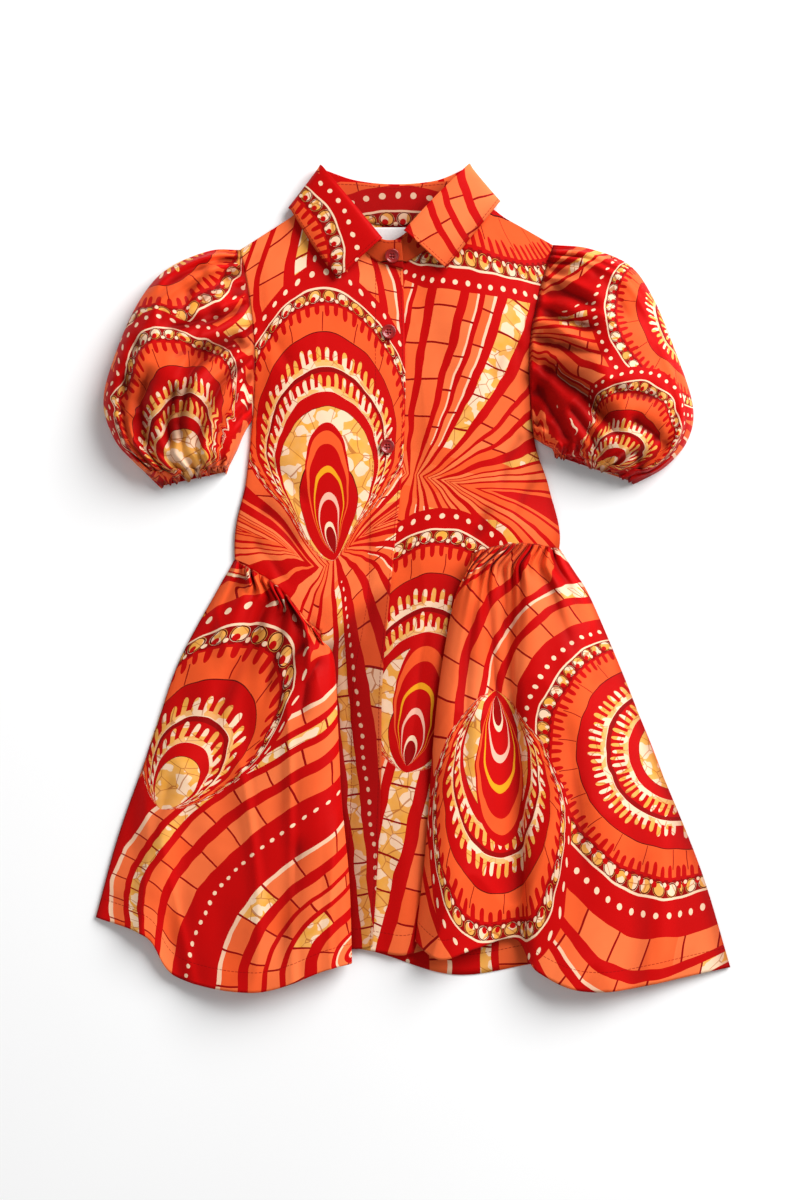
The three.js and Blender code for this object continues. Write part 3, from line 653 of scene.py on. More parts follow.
frontRight = {
    "rows": [
        [(112, 266, 2.9), (78, 285, 4.8), (47, 301, 5.0), (22, 270, 7.2), (0, 256, 4.7), (-20, 249, 4.2)],
        [(101, 228, 7.5), (76, 238, 10), (46, 242, 11), (20, 235, 8.2), (2, 227, 5.2), (-20, 222, 4.4)],
        [(93, 178, 10), (72, 184, 12.5), (44, 188, 12), (20, 187, 8.8), (3, 184, 5.4), (-19, 182, 4.4)],
        [(97, 112, 2.9), (74, 124, 11), (44, 132, 12), (19, 132, 8.8), (3, 131, 5.4), (-19, 130, 4.4)],
        [(109, 72, 2.3), (79, 74, 8.5), (46, 76, 11), (17, 76, 8.6), (0, 76, 5.4), (-23, 76, 4.4)],
        [(117, 23, 2.3), (84, 27, 9.5), (47, 20, 7.3), (16, 16, 8.2), (-6, 12, 5.4), (-28, 8, 4.2)],
        [(35, -48, 3.4), (8, -58, 7.6), (-14, -66, 5.2), (-34, -72, 3.4)],
        [(27, -112, 3.2), (2, -126, 7.8), (-17, -138, 5.2), (-36, -150, 3.2)],
        [(19, -186, 3.2), (-2, -202, 8.0), (-20, -214, 5.2), (-38, -226, 3.2)],
        [(10, -297, 3.2), (-8, -301, 7.6), (-25, -299, 5.2), (-43, -296, 3.2)],
    ],
    "across": 80, "down": 324, "stripAt": 0.4, "stripShade": 0.15,
    "creases": [
        ([(92, 120), (76, 96), (70, 60)], 2.4, 8),
        ([(60, 60), (56, 40), (44, 28)], 1.9, 7),
        ([(90, 190), (72, 176), (60, 150)], 1.9, 8),
        ([(104, 84), (88, 66), (78, 36)], 2.0, 7),
        ([(20, 0), (8, -60), (0, -130), (-6, -200)], 2.4, 7),
    ],
}
waistAt = 5 / 9
armholeAt = 3 / 9
backArmholeAt = 3 / 5


def filledRows(rows):       # where the bodice's outer columns are missing, the rows go on in line
    rows = [[np.array(point, float) for point in row] for row in rows]
    for row in rows:
        while len(row) < len(rows[0]):
            row.insert(0, 2 * row[0] - row[1])
    return np.array(rows)


for front in (frontLeft, frontRight):
    front["rows"] = filledRows(front["rows"])


def makeFront(node, front, material, seed):
    u, v, points = panelGrid(front)
    smoothPoints = points.copy()
    x, y, height = points[..., 0], points[..., 1], points[..., 2]
    inside = smooth(np.minimum(u, 1 - u) * 8)
    height -= creaseDepth(front["creases"], x, y) * inside
    height += (0.35 * ripple(x, y * 0.6, 40, seed) + 0.6 * crumple(x, y * 0.5, 100, seed + 1)) * inside
    nearWaist = np.exp(-(((v - waistAt) / 0.012) ** 2)) * (u < front["stripAt"])
    height += 0.45 * ripple(x, y * 0.2, 11, seed + 5) * nearWaist
    gap = 0.6 * smooth((v - 0.02) / 0.02) * smooth((0.12 - u) * 20)     # armhole seam rolls over
    height -= gap * (v < armholeAt)
    flat, _ = flatCloth(smoothPoints, round(0.7 * front["across"]))
    alongRows, toCentre = lengths(smoothPoints, 1), lengthsTo(smoothPoints, 0)
    maps = asMaps(flat=flat, placket=edgeMap(alongRows, toCentre),
                  hem=edgeMap(toCentre, alongRows[:, -1:] - alongRows))
    # Painted shade on the centre strip below the waist, darker beside the side panel's roll
    besideRoll = np.exp(-(((u - front["stripAt"]) / 0.1) ** 2))
    shaded = smooth((v - waistAt) / 0.03) * (front["stripShade"] + 0.45 * besideRoll)
    strip, waist = round(front["stripAt"] * front["across"]), round(waistAt * front["down"])
    makeCloth(node, points, maps, material, keep=lambda i, j: i >= strip or j < waist, paintedShade=shaded)


upperButtonholes = [surfacePoint(frontLeft["rows"], *place) for place in ((0.9, 0.192), (0.897, 0.387))]
frontLeftPrint = cottonMaterial("print_front_left", [
    dict(kind="bricks", at=(-66, 26), turn=6, reach=150, pinch=0.34, size=8, seed=3),
    dict(kind="rings", at=(-66, 26), turn=2, reach=218, point=2.7, size=222),
    dict(kind="flame", at=(-66, 30), turn=2, reach=94, width=0.8, point=6),
], [("placket", 2.2), ("placket", 24), ("hem", 16)], upperButtonholes)
frontRightPrint = cottonMaterial("print_front_right", [
    dict(kind="bricks", at=(0, 84), turn=-14, reach=150, pinch=0.4, size=7.5, seed=8),
    dict(kind="rings", at=(66, 352), turn=180, reach=132, size=150),
    dict(kind="rings", at=(-4, -156), turn=-10, reach=214, point=2.6, size=212),
    dict(kind="flame", at=(-4, -150), turn=-10, reach=104, width=0.85, point=6),
], [("hem", 16)])
makeFront("front_left", frontLeft, frontLeftPrint, 11)
makeFront("front_right", frontRight, frontRightPrint, 12)
print("fronts made")

# Side panels of the skirt: rows from the waist down, columns from the inner seam over the fold to the side.

skirtLeft = {
    "rows": [
        [(-73, -43, 6.5), (-77, -38, 6.8), (-85, -29, 7.2),
         (-96, -18, 7.4), (-108, -7, 7.2), (-124, 3, 5.0), (-142, 13, 2.3)],
        [(-73, -53, 6.2), (-72.5, -50, 11), (-80, -43, 14),
         (-96, -31, 13.5), (-112, -21, 9), (-129, -10, 10), (-148, 4, 2.3)],
        [(-72, -66, 5.6), (-63, -64, 10), (-76, -58, 19), (-97, -46, 18),
         (-120, -36, 10), (-136, -24, 14), (-156, -10, 2.3)],
        [(-69, -116, 5.0), (-60, -116, 11), (-74, -116, 22),
         (-102, -106, 20), (-132, -96, 8.5), (-158, -86, 15), (-187, -68, 2.3)],
        [(-65, -176, 5.0), (-57, -176, 11), (-73, -176, 23), (-110, -168, 18),
         (-152, -152, 10), (-180, -143, 15), (-209, -133, 2.3)],
        [(-59, -242, 5.0), (-51, -242, 11), (-68, -246, 23), (-116, -244, 19),
         (-176, -226, 9.5), (-202, -216, 15), (-235, -206, 2.3)],
        [(-56, -305, 5.0), (-49, -307, 11), (-68, -311, 23), (-124, -329, 21),
         (-188, -318, 9), (-212, -286, 14), (-253, -271, 2.3)],
    ],
    "across": 170, "down": 220, "side": -1, "tucks": 8,
    "gathers": unevenGathers(21, 11, 8.5, 0.42) + unevenGathers(23, 22, 2.6, 0.12),
    "creases": [
        ([(-78, -46), (-94, -62), (-104, -90), (-112, -130)], 4.4, 5),
        ([(-72, -60), (-84, -84), (-90, -120)], 3.4, 4),
        ([(-110, -10), (-128, -50), (-150, -100), (-168, -150)], 4.4, 7),
        ([(-100, -20), (-108, -60), (-122, -110)], 3.0, 5),
        ([(-90, -200), (-96, -250), (-104, -320)], 3.0, 8),
        ([(-190, -150), (-204, -200), (-222, -250)], 2.4, 7),
    ],
}

skirtRight = {
    "rows": [
        [(47, 18, 7.5), (52, 20, 7.8), (58, 21, 8.2), (67, 23, 8.6),
         (77, 25, 8.6), (88, 25, 8.0), (101, 24, 6.2), (117, 22, 2.3)],
        [(45.5, 3, 7.2), (43, 4, 11), (50, 5, 14), (63, 6, 13.5),
         (77, 5, 9.5), (90, 6, 13), (109, 6, 11.5), (130, 4, 2.3)],
        [(42, -20, 5.8), (33, -20, 10), (44, -18, 18), (60, -17, 17),
         (77, -20, 10), (92, -18, 17), (118, -16, 15), (143, -18, 2.3)],
        [(31, -82, 5.0), (22, -82, 11), (34, -81, 20), (54, -82, 17),
         (76, -84, 7), (90, -82, 19), (130, -80, 17), (169, -79, 2.3)],
        [(24, -142, 5.0), (16, -142, 11), (30, -143, 22), (54, -144, 19),
         (83, -144, 6.5), (97, -143, 20), (146, -143, 18), (194, -143, 2.3)],
        [(18, -214, 5.0), (11, -216, 11), (27, -221, 23), (54, -224, 21),
         (85, -224, 6.5), (98, -226, 21), (158, -231, 19), (230, -232, 2.3)],
        [(10, -288, 5.0), (3, -290, 11), (22, -303, 23), (49, -295, 19),
         (82, -288, 6.5), (101, -314, 20), (150, -329, 19), (254, -311, 2.3)],
    ],
    "across": 170, "down": 220, "side": 1, "tucks": 8,
    "gathers": unevenGathers(22, 12, 8.5, 0.46) + unevenGathers(24, 24, 2.6, 0.14),
    "creases": [
        ([(58, 12), (62, -30), (66, -80), (70, -120)], 4.2, 4),
        ([(72, 16), (74, -20), (72, -60)], 3.6, 4),
        ([(86, 16), (84, -20), (80, -70)], 3.2, 4),
        ([(104, 12), (118, -30), (132, -70)], 3.2, 6),
        ([(50, -10), (44, -60), (42, -120), (44, -200)], 3.4, 6),
        ([(120, -100), (132, -170), (140, -250)], 2.6, 9),
    ],
}
tuckHeight = 2.2
sideLowest = 1.4
tuckedUnder = np.array([0, 1.0, -1.0])       # a side panel's top from the front's waist seam, in mm


def makeSidePanel(node, panel, front, material, seed):
    u, v, points = panelGrid(panel)
    us, vs = u[:, 0], v[0]
    strip = front["stripAt"]
    waistSeam = surfaceGrid(front["rows"], (1 - us) * strip, [waistAt])
    innerSeam = surfaceGrid(front["rows"], [strip], waistAt + vs * (1 - waistAt))
    points += (waistSeam + tuckedUnder - points[:, :1]) * (1 - smooth(v / 0.15))[..., None]
    seam = innerSeam + np.array([panel["side"] * 0.3, 0, 0])
    seam[..., 2] += 1.1 * smooth(vs / 0.07)
    points += (seam - points[:1]) * (1 - smooth(u / 0.1))[..., None]
    x, y, height = points[..., 0], points[..., 1], points[..., 2]
    ends = smooth(np.minimum(u, 1 - u) * 12)
    wave = np.cos(2 * math.pi * panel["tucks"] * u + 0.9 * np.sin(9 * u))
    height += tuckHeight * ends * mix(0.35, 1, smooth(v / 0.08)) * (1 - smooth(v / 0.6)) * wave
    height += gatherHeight(panel["gathers"], u, v) * ends * smooth(v / 0.015 + 0.25)
    sunk = creaseDepth(panel["creases"], x, y) * ends
    height -= sunk
    folds = 0.8 * ripple(x, y * 0.5, 46, seed) + 2.2 * crumple(x, y * 0.28, 56, seed + 1)
    height += folds * ends * smooth(v / 0.2)
    np.maximum(height, sideLowest, out=height)
    flat, _ = flatCloth(points, round(0.55 * panel["across"]))
    maps = asMaps(flat=flat, hem=edgeMap(flat[..., 0], lengthsTo(points, 1)))
    # Painted shade along the waist seam and the inner seam, and in the creases
    paintedShade = np.maximum(0.9 * np.exp(-((v / 0.018) ** 2)), 0.8 * np.exp(-((u / 0.04) ** 2)))
    makeCloth(node, points, maps, material, paintedShade=np.maximum(paintedShade, np.clip(sunk / 7, 0, 0.7)))


skirtLeftPrint = cottonMaterial("print_skirt_left", [
    dict(kind="bricks", at=(-40, -332), turn=40, reach=190, size=10, seed=5),
    dict(kind="rings", at=(-200, -180), turn=-27, reach=196, point=3.2, size=150),
], [("hem", 16)])
skirtRightPrint = cottonMaterial("print_skirt_right", [
    dict(kind="bricks", at=(226, -128), reach=136, size=7, seed=2),
    dict(kind="rings", at=(226, -128), reach=138, size=150),
    dict(kind="rings", at=(66, -92), turn=182, reach=212, point=3.4, size=204),
    dict(kind="flame", at=(66, -96), turn=182, reach=116, width=0.85, point=7),
], [("hem", 16)])
makeSidePanel("skirt_side_left", skirtLeft, frontLeft, skirtLeftPrint, 31)
makeSidePanel("skirt_side_right", skirtRight, frontRight, skirtRightPrint, 32)
print("skirt sides made")

# Back of the dress, flat on the table

def laidFlat(rows):     # at the height of the back cloth on the table
    return [[(x, y, 0.6) for x, y in row] for row in rows]


backBodice = {
    "rows": [
        [(-138, 262, 0.6), (-100, 286, 2.8), (-75, 301, 2.9),
         (-14, 284, 2.9), (47, 301, 2.9), (78, 285, 2.8), (112, 266, 0.6)],
        [(-131, 228, 0.6), (-98, 252, 2.6), (-70, 256, 2.9), (-14, 256, 2.9),
         (44, 256, 2.9), (76, 252, 2.6), (101, 228, 0.6)],
    ] + laidFlat([
        [(-126, 182), (-96, 190), (-68, 196), (-14, 200), (44, 196), (72, 190), (93, 178)],
        [(-128, 127), (-98, 130), (-68, 132), (-14, 132), (44, 130), (74, 124), (97, 112)],
        [(-133, 78), (-102, 78), (-70, 78), (-14, 78), (46, 76), (79, 74), (109, 72)],
        [(-142, 14), (-106, 16), (-72, 18), (-14, 20), (48, 22), (84, 23), (117, 23)],
    ]),
    "across": 90, "down": 90,
}

backSkirt = {
    "rows": laidFlat([
        [(-142, 13.3), (-96, 15.6), (-50, 17.6), (10, 20), (64, 21.8), (117, 22.3)],
        [(-162, -21), (-110, -24), (-52, -26), (14, -26), (76, -24), (143, -18)],
        [(-196, -94), (-132, -98), (-56, -100), (18, -100), (92, -98), (174, -92)],
        [(-220, -165), (-146, -176), (-58, -180), (20, -182), (106, -178), (203, -165)],
        [(-253, -270), (-158, -294), (-46, -296), (34, -317), (120, -306), (253, -310)],
    ]),
    "across": 150, "down": 100, "tucks": 8, "tuckHeight": 1.2,
}


def makeBack(node, back, material):
    u, v, points = panelGrid(back)
    height = points[..., 2]
    if "tucks" in back:
        ends = smooth((np.minimum(u, 1 - u) - 0.067) * 6)
        wave = (1 - np.cos(2 * math.pi * back["tucks"] * u)) / 2
        height[:] = 0.6 + back["tuckHeight"] * wave * ends * (1 - smooth(v / 0.3))
    np.maximum(height, clothThickness / mm / 2, out=height)
    maps = asMaps(flat=points[..., :2], hem=edgeMap(points[..., 0], lengthsTo(points, 1)))
    makeCloth(node, points, maps, material)


backPrint = cottonMaterial("print_back", [
    dict(kind="bricks", at=(-10, -20), reach=150, pinch=0.5, size=8, seed=4),
    dict(kind="rings", at=(-12, -60), turn=180, reach=244, point=2.2, size=228),
    dict(kind="rings", at=(-14, 20), reach=226, point=2.2, size=228),
], [("hem", 16)])
makeBack("back_bodice", backBodice, backPrint)
makeBack("back_skirt", backSkirt, backPrint)
print("back made")

# Puffed sleeves: the two ends of each section from armhole to elastic as (x, y), and the height between them

sleeveLeft = {
    "rows": [
        ((-138, 262), (-128, 127), 9), ((-162, 261), (-133, 119), 27), ((-196, 246), (-136, 113), 39),
        ((-218, 220), (-138, 108), 45), ((-236, 180), (-140, 103), 47), ((-246, 142), (-142, 99), 44),
        ((-238, 112), (-144, 95), 38), ((-221, 92), (-146, 91), 27), ((-200, 74), (-149, 85), 13),
    ],
    "creases": [
        ([(-130, 196), (-150, 186), (-172, 178), (-196, 172)], 10, 9),
        ([(-206, 170), (-216, 140), (-212, 112), (-199, 86)], 13, 7),
        ([(-130, 176), (-152, 152), (-166, 122), (-176, 90)], 13, 7),
        ([(-138, 238), (-160, 226), (-178, 212)], 8, 6),
        ([(-134, 150), (-150, 128), (-160, 98)], 8, 5),
        ([(-176, 240), (-196, 214), (-206, 186)], 4, 7),
        ([(-186, 156), (-194, 124), (-190, 92)], 14, 5),
        ([(-134, 214), (-156, 204), (-178, 196)], 8, 5),
        ([(-226, 168), (-232, 140), (-222, 104)], 9, 5),
        ([(-150, 214), (-176, 200), (-200, 196)], 7, 5),
        ([(-160, 190), (-176, 160), (-184, 122), (-180, 84)], 12, 5),
        ([(-214, 196), (-226, 166), (-226, 122)], 8, 5),
        ([(-132, 190), (-150, 182), (-182, 160)], 8, 4),
        ([(-160, 250), (-176, 226), (-184, 200)], 6, 5),
    ],
    "outward": -1, "headGathers": unevenGathers(41, 11, 7.0, 0.5) + unevenGathers(45, 17, 2.2, 0.2),
    "hemGathers": unevenGathers(42, 11, 7.5, 0.6) + unevenGathers(46, 24, 2.6, 0.2),
}

sleeveRight = {
    "rows": [
        ((112, 266), (97, 112), 9), ((140, 263), (102, 109), 27), ((172, 250), (105, 107), 39),
        ((191, 224), (107, 106), 45), ((208, 184), (109, 105), 47), ((223, 138), (111, 104), 45),
        ((219, 110), (112, 103), 40), ((200, 88), (113, 101), 28), ((176, 77), (114, 98), 13),
    ],
    "creases": [
        ([(94, 170), (114, 162), (134, 146), (152, 126), (168, 104)], 20, 8),
        ([(104, 236), (126, 224), (152, 210)], 10, 6),
        ([(98, 160), (106, 140), (120, 114), (142, 92)], 14, 6),
        ([(168, 128), (190, 114), (206, 100)], 8, 6),
        ([(102, 212), (124, 204), (150, 194)], 8, 5),
        ([(100, 190), (126, 182), (158, 172)], 8, 6),
        ([(150, 150), (176, 144), (204, 142)], 5, 7),
        ([(140, 246), (160, 226), (176, 196)], 4, 7),
        ([(120, 140), (138, 116), (154, 90)], 9, 5),
        ([(176, 104), (180, 90), (180, 80)], 6, 5),
    ],
    "outward": 1, "headGathers": unevenGathers(43, 11, 7.0, 0.55) + unevenGathers(47, 18, 2.4, 0.22),
    "hemGathers": unevenGathers(44, 11, 7.0, 0.6) + unevenGathers(48, 24, 2.6, 0.2),
}
sleeveCells = {"top": 160, "under": 30, "down": 120, "tucks": 8}
sleeveEdge = 1.8        # height of the cloth's fold along the sides of a sleeve
tunnelAt = 0.93         # share of the way down to the seam of the elastic's tunnel
ruffleFrom = 0.9


def makeSleeve(node, sleeve, front, material, seed):
    top, under = sleeveCells["top"], sleeveCells["under"]
    vs = gridSteps(sleeveCells["down"])
    outer = curveAt([(*row[0], row[2]) for row in sleeve["rows"]], vs)
    inner = curveAt([(*row[1], row[2]) for row in sleeve["rows"]], vs)
    share = np.concatenate([gridSteps(top), 1 - gridSteps(under)[1:]])
    across = (1 - np.cos(math.pi * share)) / 2
    u, v, onTop = share[:, None], vs[None, :], (np.arange(len(share)) <= top)[:, None]
    points = mix(outer[None], inner[None], across[:, None, None])
    puff = points[..., 2].copy()
    backRows = [row[::-sleeve["outward"]] for row in backBodice["rows"]]
    seamTop = surfaceGrid(front["rows"], [0.0], across * armholeAt)[0]
    seamUnder = surfaceGrid(backRows, [0.0], across * backArmholeAt)[0]
    seam = np.where(onTop, seamTop, seamUnder)
    chord = mix(outer[0], inner[0], across[:, None])
    points += (seam - chord)[:, None] * (1 - smooth(v / 0.3))[..., None]
    points[..., 0] += sleeve["outward"] * 0.2
    x, y = points[..., 0], points[..., 1]
    roundness = np.sin(math.pi * share)[:, None]
    inside = smooth(roundness * 2)
    sunk = creaseDepth(sleeve["creases"], x, y) * roundness
    crown = sleeveEdge + (puff - sleeveEdge) * roundness**0.75 - sunk
    raised = mix(np.maximum(seam[:, 2:3], sleeveEdge), crown, smooth(v / 0.14))
    wave = np.cos(2 * math.pi * sleeveCells["tucks"] * share)[:, None] * inside * tuckHeight
    nearHead = smooth(v / 0.08) * (1 - smooth((v - 0.1) / 0.3))
    raised += wave * (0.7 * nearHead + 0.6 * smooth((v - 0.74) / 0.2))
    atHem = gatherHeight(sleeve["hemGathers"], u, 1 - v)
    raised += gatherHeight(sleeve["headGathers"], u, v) * smooth(v / 0.02) * inside
    raised += atHem * inside
    raised += (0.8 * ripple(x, y, 36, seed) + 2.6 * crumple(x, y, 50, seed + 1)) * smooth(v / 0.2) * roundness
    tunnel = np.exp(-(((v - tunnelAt) / 0.012) ** 2))
    raised -= 1.5 * tunnel * inside
    topHeight = np.maximum(raised, sleeveEdge + 3 * roundness * smooth(v / 0.14))
    points[..., 2] = np.where(onTop, topHeight, np.maximum(0.6, sleeveEdge - 4 * roundness))
    hem = smooth((v - ruffleFrom) * 10)
    points[..., 1] += np.where(onTop, 0.9 * atHem * hem - 2.2 * hem, 0)
    flat, length = flatCloth(points, round(top / 2), top)
    maps = asMaps(flat=flat, hem=edgeMap(length, lengthsTo(points, 1)))
    # Painted shade along the armhole seam and the elastic's tunnel, and in the creases on top
    paintedShade = np.maximum(0.9 * np.exp(-((v / 0.022) ** 2)), 0.6 * tunnel)
    paintedShade = np.maximum(paintedShade, np.where(onTop, np.clip(sunk / 14, 0, 0.85), 0))
    makeCloth(node, points, maps, material, ("_head", "_puff", "_hem"), ring=True, paintedShade=paintedShade)


sleeveLeftPrint = cottonMaterial("print_sleeve_left", [
    dict(kind="bricks", at=(-190, 250), turn=20, reach=120, size=6, seed=6),
    dict(kind="rings", at=(-214, 300), reach=110, size=110),
    dict(kind="rings", at=(-170, 70), turn=18, reach=150, point=1.5, size=160),
], [("hem", 10)])
sleeveRightPrint = cottonMaterial("print_sleeve_right", [
    dict(kind="bricks", at=(86, 196), turn=-96, reach=150, pinch=0.5, size=8, seed=9),
    dict(kind="rings", at=(226, 214), reach=86, size=120),
    dict(kind="rings", at=(150, 70), turn=-30, reach=104, point=1.2, size=150),
], [("hem", 10)])
makeSleeve("sleeve_left", sleeveLeft, frontLeft, sleeveLeftPrint, 51)
makeSleeve("sleeve_right", sleeveRight, frontRight, sleeveRightPrint, 52)
print("sleeves made")

# Collar and stand: rows from the left point round the neck to the right point

collar = {
    "rows": [
        [(-24, 270, 20.4), (-31, 264, 21.2), (-60, 238, 15.5)],
        [(-48, 299, 20.4), (-54, 294, 20.6), (-79, 264, 14.5)],
        [(-71, 327, 15), (-76, 320, 14.5), (-96, 292, 10.5)],
        [(-69, 326, 1.4), (-74, 318, 1.0), (-94, 293, 0.8)],
        [(-45, 318, 0.8), (-46, 310, 0.8), (-52, 276, 0.8)],
        [(-14, 315, 0.8), (-14, 307, 0.8), (-14, 272, 0.8)],
        [(19, 318, 0.8), (19, 310, 0.8), (26, 276, 0.8)],
        [(41, 327, 1.4), (45, 320, 1.0), (65, 298, 0.8)],
        [(43, 328, 15), (48, 321, 14.5), (67, 297, 10.5)],
        [(18, 303, 20.4), (23, 298, 20.6), (47, 272, 14.5)],
        [(-7, 276, 20.4), (-1, 271, 21.2), (27, 246, 15.5)],
    ],
    "across": 28, "down": 300,
}

stand = {
    "rows": [
        [(-7, 246, 10.6), (-9, 269, 15.8)], [(-30, 254, 10.8),
         (-27, 271, 17.4)], [(-55, 277, 10.2), (-49, 296, 17.8)],
        [(-65, 292, 8.6), (-67, 319, 12.6)], [(-61, 291, 6.2),
         (-64, 317, 4.4)], [(-44, 286, 4.8), (-42, 316, 3.0)],
        [(-14, 281, 4.8), (-14, 313.5, 3.0)], [(16, 286, 4.8),
         (16, 316, 3.0)], [(33, 291, 6.2), (36, 318, 4.4)],
        [(38, 292, 8.6), (39, 320, 12.6)], [(29, 277, 9.1),
         (18, 299, 17.8)], [(2, 256, 7.0), (-4, 276, 14.6)],
        [(-20, 247, 5.8), (-19, 267, 9.2)],
    ],
    "across": 14, "down": 240,
}


def makeNeckPiece(node, piece, material, thickness, shaded):
    _, _, points = panelGrid(piece)
    points[..., 2] = np.maximum(points[..., 2], thickness / mm / 2 + 0.05)
    toEdge, along = lengthsTo(points, 0), lengths(points, 1)
    maps = asMaps(flat=points[..., :2], edge=edgeMap(along, toEdge),
                  ends=edgeMap(toEdge, np.minimum(along, along[:, -1:] - along)))
    makeCloth(node, points, maps, material, slot="collar_cotton", thickness=thickness, paintedShade=shaded)


collarPrint = cottonMaterial("print_collar", [
    dict(kind="bricks", at=(120, 330), turn=40, reach=150, size=8, seed=15, crackle=0.0),
    dict(kind="rings", at=(-130, 250), reach=92, size=100),
], [("edge", 2.4), ("ends", 2.4)])
standPrint = cottonMaterial("print_stand", [
    dict(kind="bricks", at=(-14, 200), reach=100, size=8, seed=3),
    dict(kind="rings", at=(-14, 210), reach=104, size=90),
], [("edge", 2.0)])
makeNeckPiece("collar", collar, collarPrint, collarThickness, 0.0)
# Painted shade all over the stand, which lies inside the neck
makeNeckPiece("collar_stand", stand, standPrint, clothThickness, 0.6)       # shaded, inside the neck
print("collar made")

# Buttons: turned rim, dished middle, four holes and thread

buttonSpec = {
    "radius": 5.8, "thickness": 2.4, "rim": 1.2, "dish": 0.7, "hole": 0.75, "holeFrom": 1.45, "segments": 48,
    "sunk": 1.05, "strand": 0.17, "strands": (-0.28, 0, 0.28),
}
buttonResin = plainMaterial("button_resin", shade("9C0D0B"), 0.32, 0.3)
threadRed = plainMaterial("thread_red", shade("A01212"), 0.7, 0.0, 4000.0)
labelCotton = plainMaterial("label_satin", shade("EDE8E6"), 0.5, 0.0, 1500.0)


def turnedButton():     # the blank, turned round its axis
    radius, top = buttonSpec["radius"], buttonSpec["thickness"]
    rim, floor = radius - buttonSpec["rim"], top - buttonSpec["dish"]
    profile = [(0, 0), (radius - 0.8, 0), (radius - 0.2, 0.4), (radius, 1.0), (radius, top - 0.6),
               (radius - 0.25, top - 0.15), (radius - 0.6, top), (rim, top - 0.1), (rim - 0.5, floor),
               (2.8, floor - 0.15), (0, floor - 0.1)]
    bm = bmesh.new()
    verts = [bm.verts.new((r, 0, z)) for r, z in profile]
    edges = [bm.edges.new(pair) for pair in zip(verts, verts[1:])]
    bmesh.ops.spin(bm, geom=verts + edges, cent=(0, 0, 0), axis=(0, 0, 1), angle=2 * math.pi,
                   steps=buttonSpec["segments"], use_merge=True)
    bmesh.ops.remove_doubles(bm, verts=bm.verts, dist=0.001)
    bmesh.ops.recalc_face_normals(bm, faces=bm.faces)
    return bm


def drillButton(button):
    cutter = bmesh.new()
    for turn in range(4):
        angle, away = math.radians(45 + 90 * turn), buttonSpec["holeFrom"]
        place = (away * math.cos(angle), away * math.sin(angle), buttonSpec["thickness"] / 2)
        bmesh.ops.create_cone(cutter, cap_ends=True, segments=16, radius1=buttonSpec["hole"],
                              radius2=buttonSpec["hole"], depth=buttonSpec["thickness"] * 3,
                              matrix=Matrix.Translation(place))
    holes = finishMesh(button.name + "_holes", cutter, rounded=False)
    cut = button.modifiers.new("holes", "BOOLEAN")
    cut.object = holes
    cut.solver = "EXACT"
    bpy.context.view_layer.update()
    evaluated = button.evaluated_get(bpy.context.evaluated_depsgraph_get())
    drilled = bpy.data.meshes.new_from_object(evaluated)
    button.modifiers.clear()
    button.data = drilled
    bpy.data.objects.remove(holes)


def makeButton(name, node, rows, u, v):
    step = 0.02
    along = surfacePoint(rows, u + step, v) - surfacePoint(rows, u - step, v)
    down = surfacePoint(rows, u, v + step) - surfacePoint(rows, u, v - step)
    normal = Vector(np.cross(along, down)).normalized()
    if normal.z < 0:
        normal.negate()
    button = finishMesh(name, turnedButton())
    drillButton(button)
    centre = Vector(surfacePoint(rows, u, v)) + normal * buttonSpec["sunk"] + Vector(toFrame)
    turnTo = Vector((0, 0, 1)).rotation_difference(normal).to_matrix().to_4x4()
    place = Matrix.Scale(mm, 4) @ Matrix.Translation(centre) @ turnTo
    button.data.transform(place)
    dressPiece(button, buttonResin, "button_red", node)
    makeThread(name + "_thread", place)


def makeThread(name, place):        # two bars of thread between the holes
    bm = bmesh.new()
    reach = buttonSpec["holeFrom"] * math.cos(math.radians(45))
    height = buttonSpec["thickness"] - buttonSpec["dish"] + 0.12
    for side in (-1, 1):
        for strand in buttonSpec["strands"]:
            spot = Matrix.Translation((side * reach + strand, 0, height))
            bmesh.ops.create_cone(bm, cap_ends=True, segments=10, radius1=buttonSpec["strand"],
                                  radius2=buttonSpec["strand"], depth=2 * reach + 0.3,
                                  matrix=spot @ Matrix.Rotation(math.pi / 2, 4, "X"))
    for vertex in bm.verts:     # the ends dip into the holes
        vertex.co.z -= 0.9 * smooth((abs(vertex.co.y) - reach * 0.7) / (reach * 0.5))
    thread = finishMesh(name, bm)
    thread.data.transform(place)
    dressPiece(thread, threadRed, "button_red")


makeButton("button_collar", "button_1", stand["rows"], 0.42, 0.034)
makeButton("button_chest", "button_2", frontLeft["rows"], 0.9, 0.192)
makeButton("button_waist", "button_3", frontLeft["rows"], 0.897, 0.387)


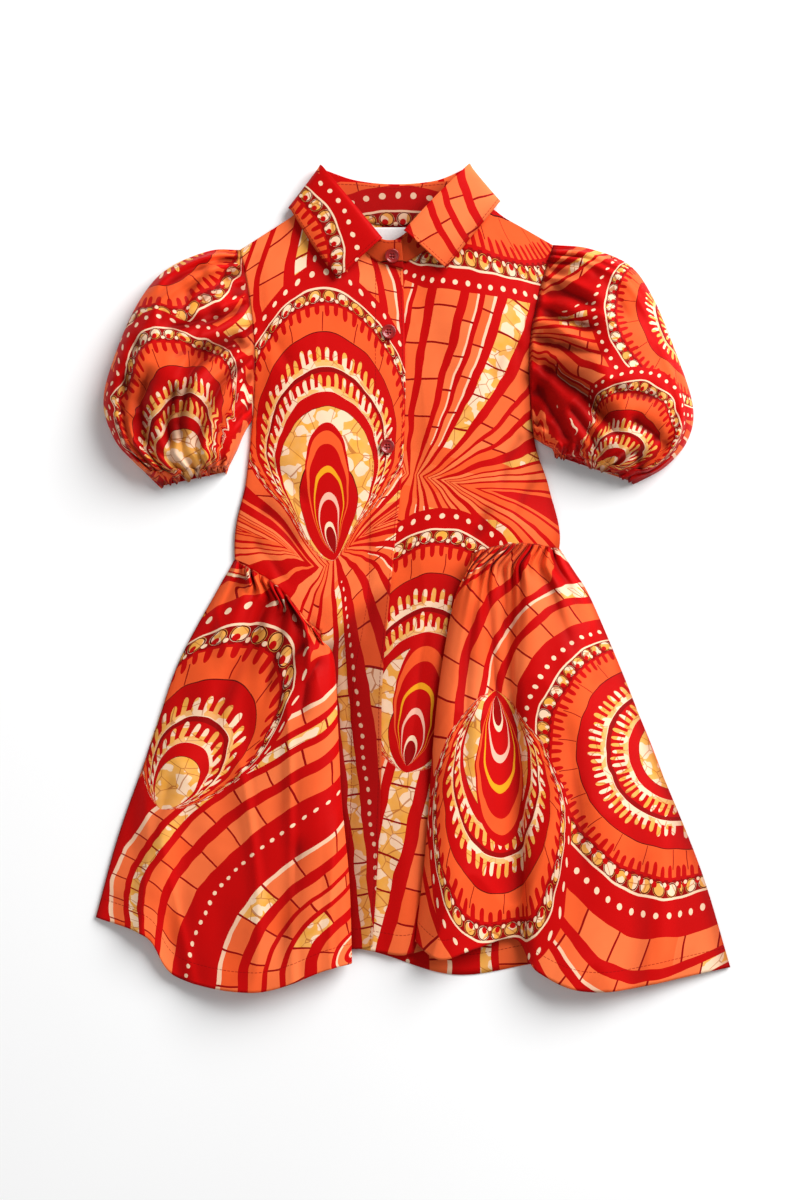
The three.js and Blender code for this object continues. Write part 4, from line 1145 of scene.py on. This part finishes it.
def makeLabel():        # a bare pale patch inside the back of the neck
    low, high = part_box("neck_label")
    bm = bmesh.new()
    bmesh.ops.create_grid(bm, x_segments=24, y_segments=14, size=0.5)
    for vertex in bm.verts:
        x, y = vertex.co.x, vertex.co.y
        rise = 0.25 * mm * math.cos(x * 5) * math.cos(y * 3)
        vertex.co = (mix(low.x, high.x, x + 0.5), mix(low.y, high.y, y + 0.5), high.z - 0.3 * mm + rise)
    dressPiece(finishMesh("label_patch", bm), labelCotton, "label_white", "neck_label", thickness=0.4 * mm)


makeLabel()
print("buttons and label made")

# Floor, light and camera

photoView = {"middle": (-10.5, -18.0), "height": 960.0, "distance": 2600.0}


def makeFloor():
    bm = bmesh.new()
    bmesh.ops.create_grid(bm, x_segments=2, y_segments=2, size=6)
    floor = finishMesh("floor", bm, rounded=False)
    material = bpy.data.materials.new("floor_white")
    material.use_nodes = True
    surface = material.node_tree.nodes["Principled BSDF"].inputs
    coords = Term(material.node_tree.nodes.new("ShaderNodeTexCoord"), "Object")
    link(surface["Base Color"], paint(shade("F4F4F4"), shade("FAFAFA"), noise(coords, 3.0, 2.0)))
    link(surface["Roughness"], 0.9)
    floor.data.materials.append(material)


def addToScene(name, data, place):
    holder = bpy.data.objects.new(name, data)
    holder.location = place
    scene.collection.objects.link(holder)
    return holder


def makeLight(name, place, size, power):
    lamp = bpy.data.lights.new(name, "AREA")
    lamp.size = size
    lamp.energy = power
    holder = addToScene(name, lamp, place)
    holder.rotation_euler = (-Vector(place)).to_track_quat("-Z", "Y").to_euler()


def makeWorld():
    world = bpy.data.worlds.new("studio")
    world.use_nodes = True
    world.node_tree.nodes["Background"].inputs[0].default_value = (1, 1, 1, 1)
    world.node_tree.nodes["Background"].inputs[1].default_value = 0.28
    scene.world = world


def makeCamera():
    camera = bpy.data.cameras.new("camera")
    camera.lens = camera.sensor_width * photoView["distance"] / photoView["height"]
    camera.clip_end = 100
    x, y = photoView["middle"]
    scene.camera = addToScene("camera", camera, (x * mm, y * mm, photoView["distance"] * mm))


makeFloor()
makeWorld()
makeLight("key_light", (1.9, 1.8, 1.9), 2.4, 180)
makeLight("fill_light", (-1.8, -0.6, 2.2), 2.2, 10)
makeCamera()
scene.view_settings.view_transform = "Standard"
print("floor, light and camera made")
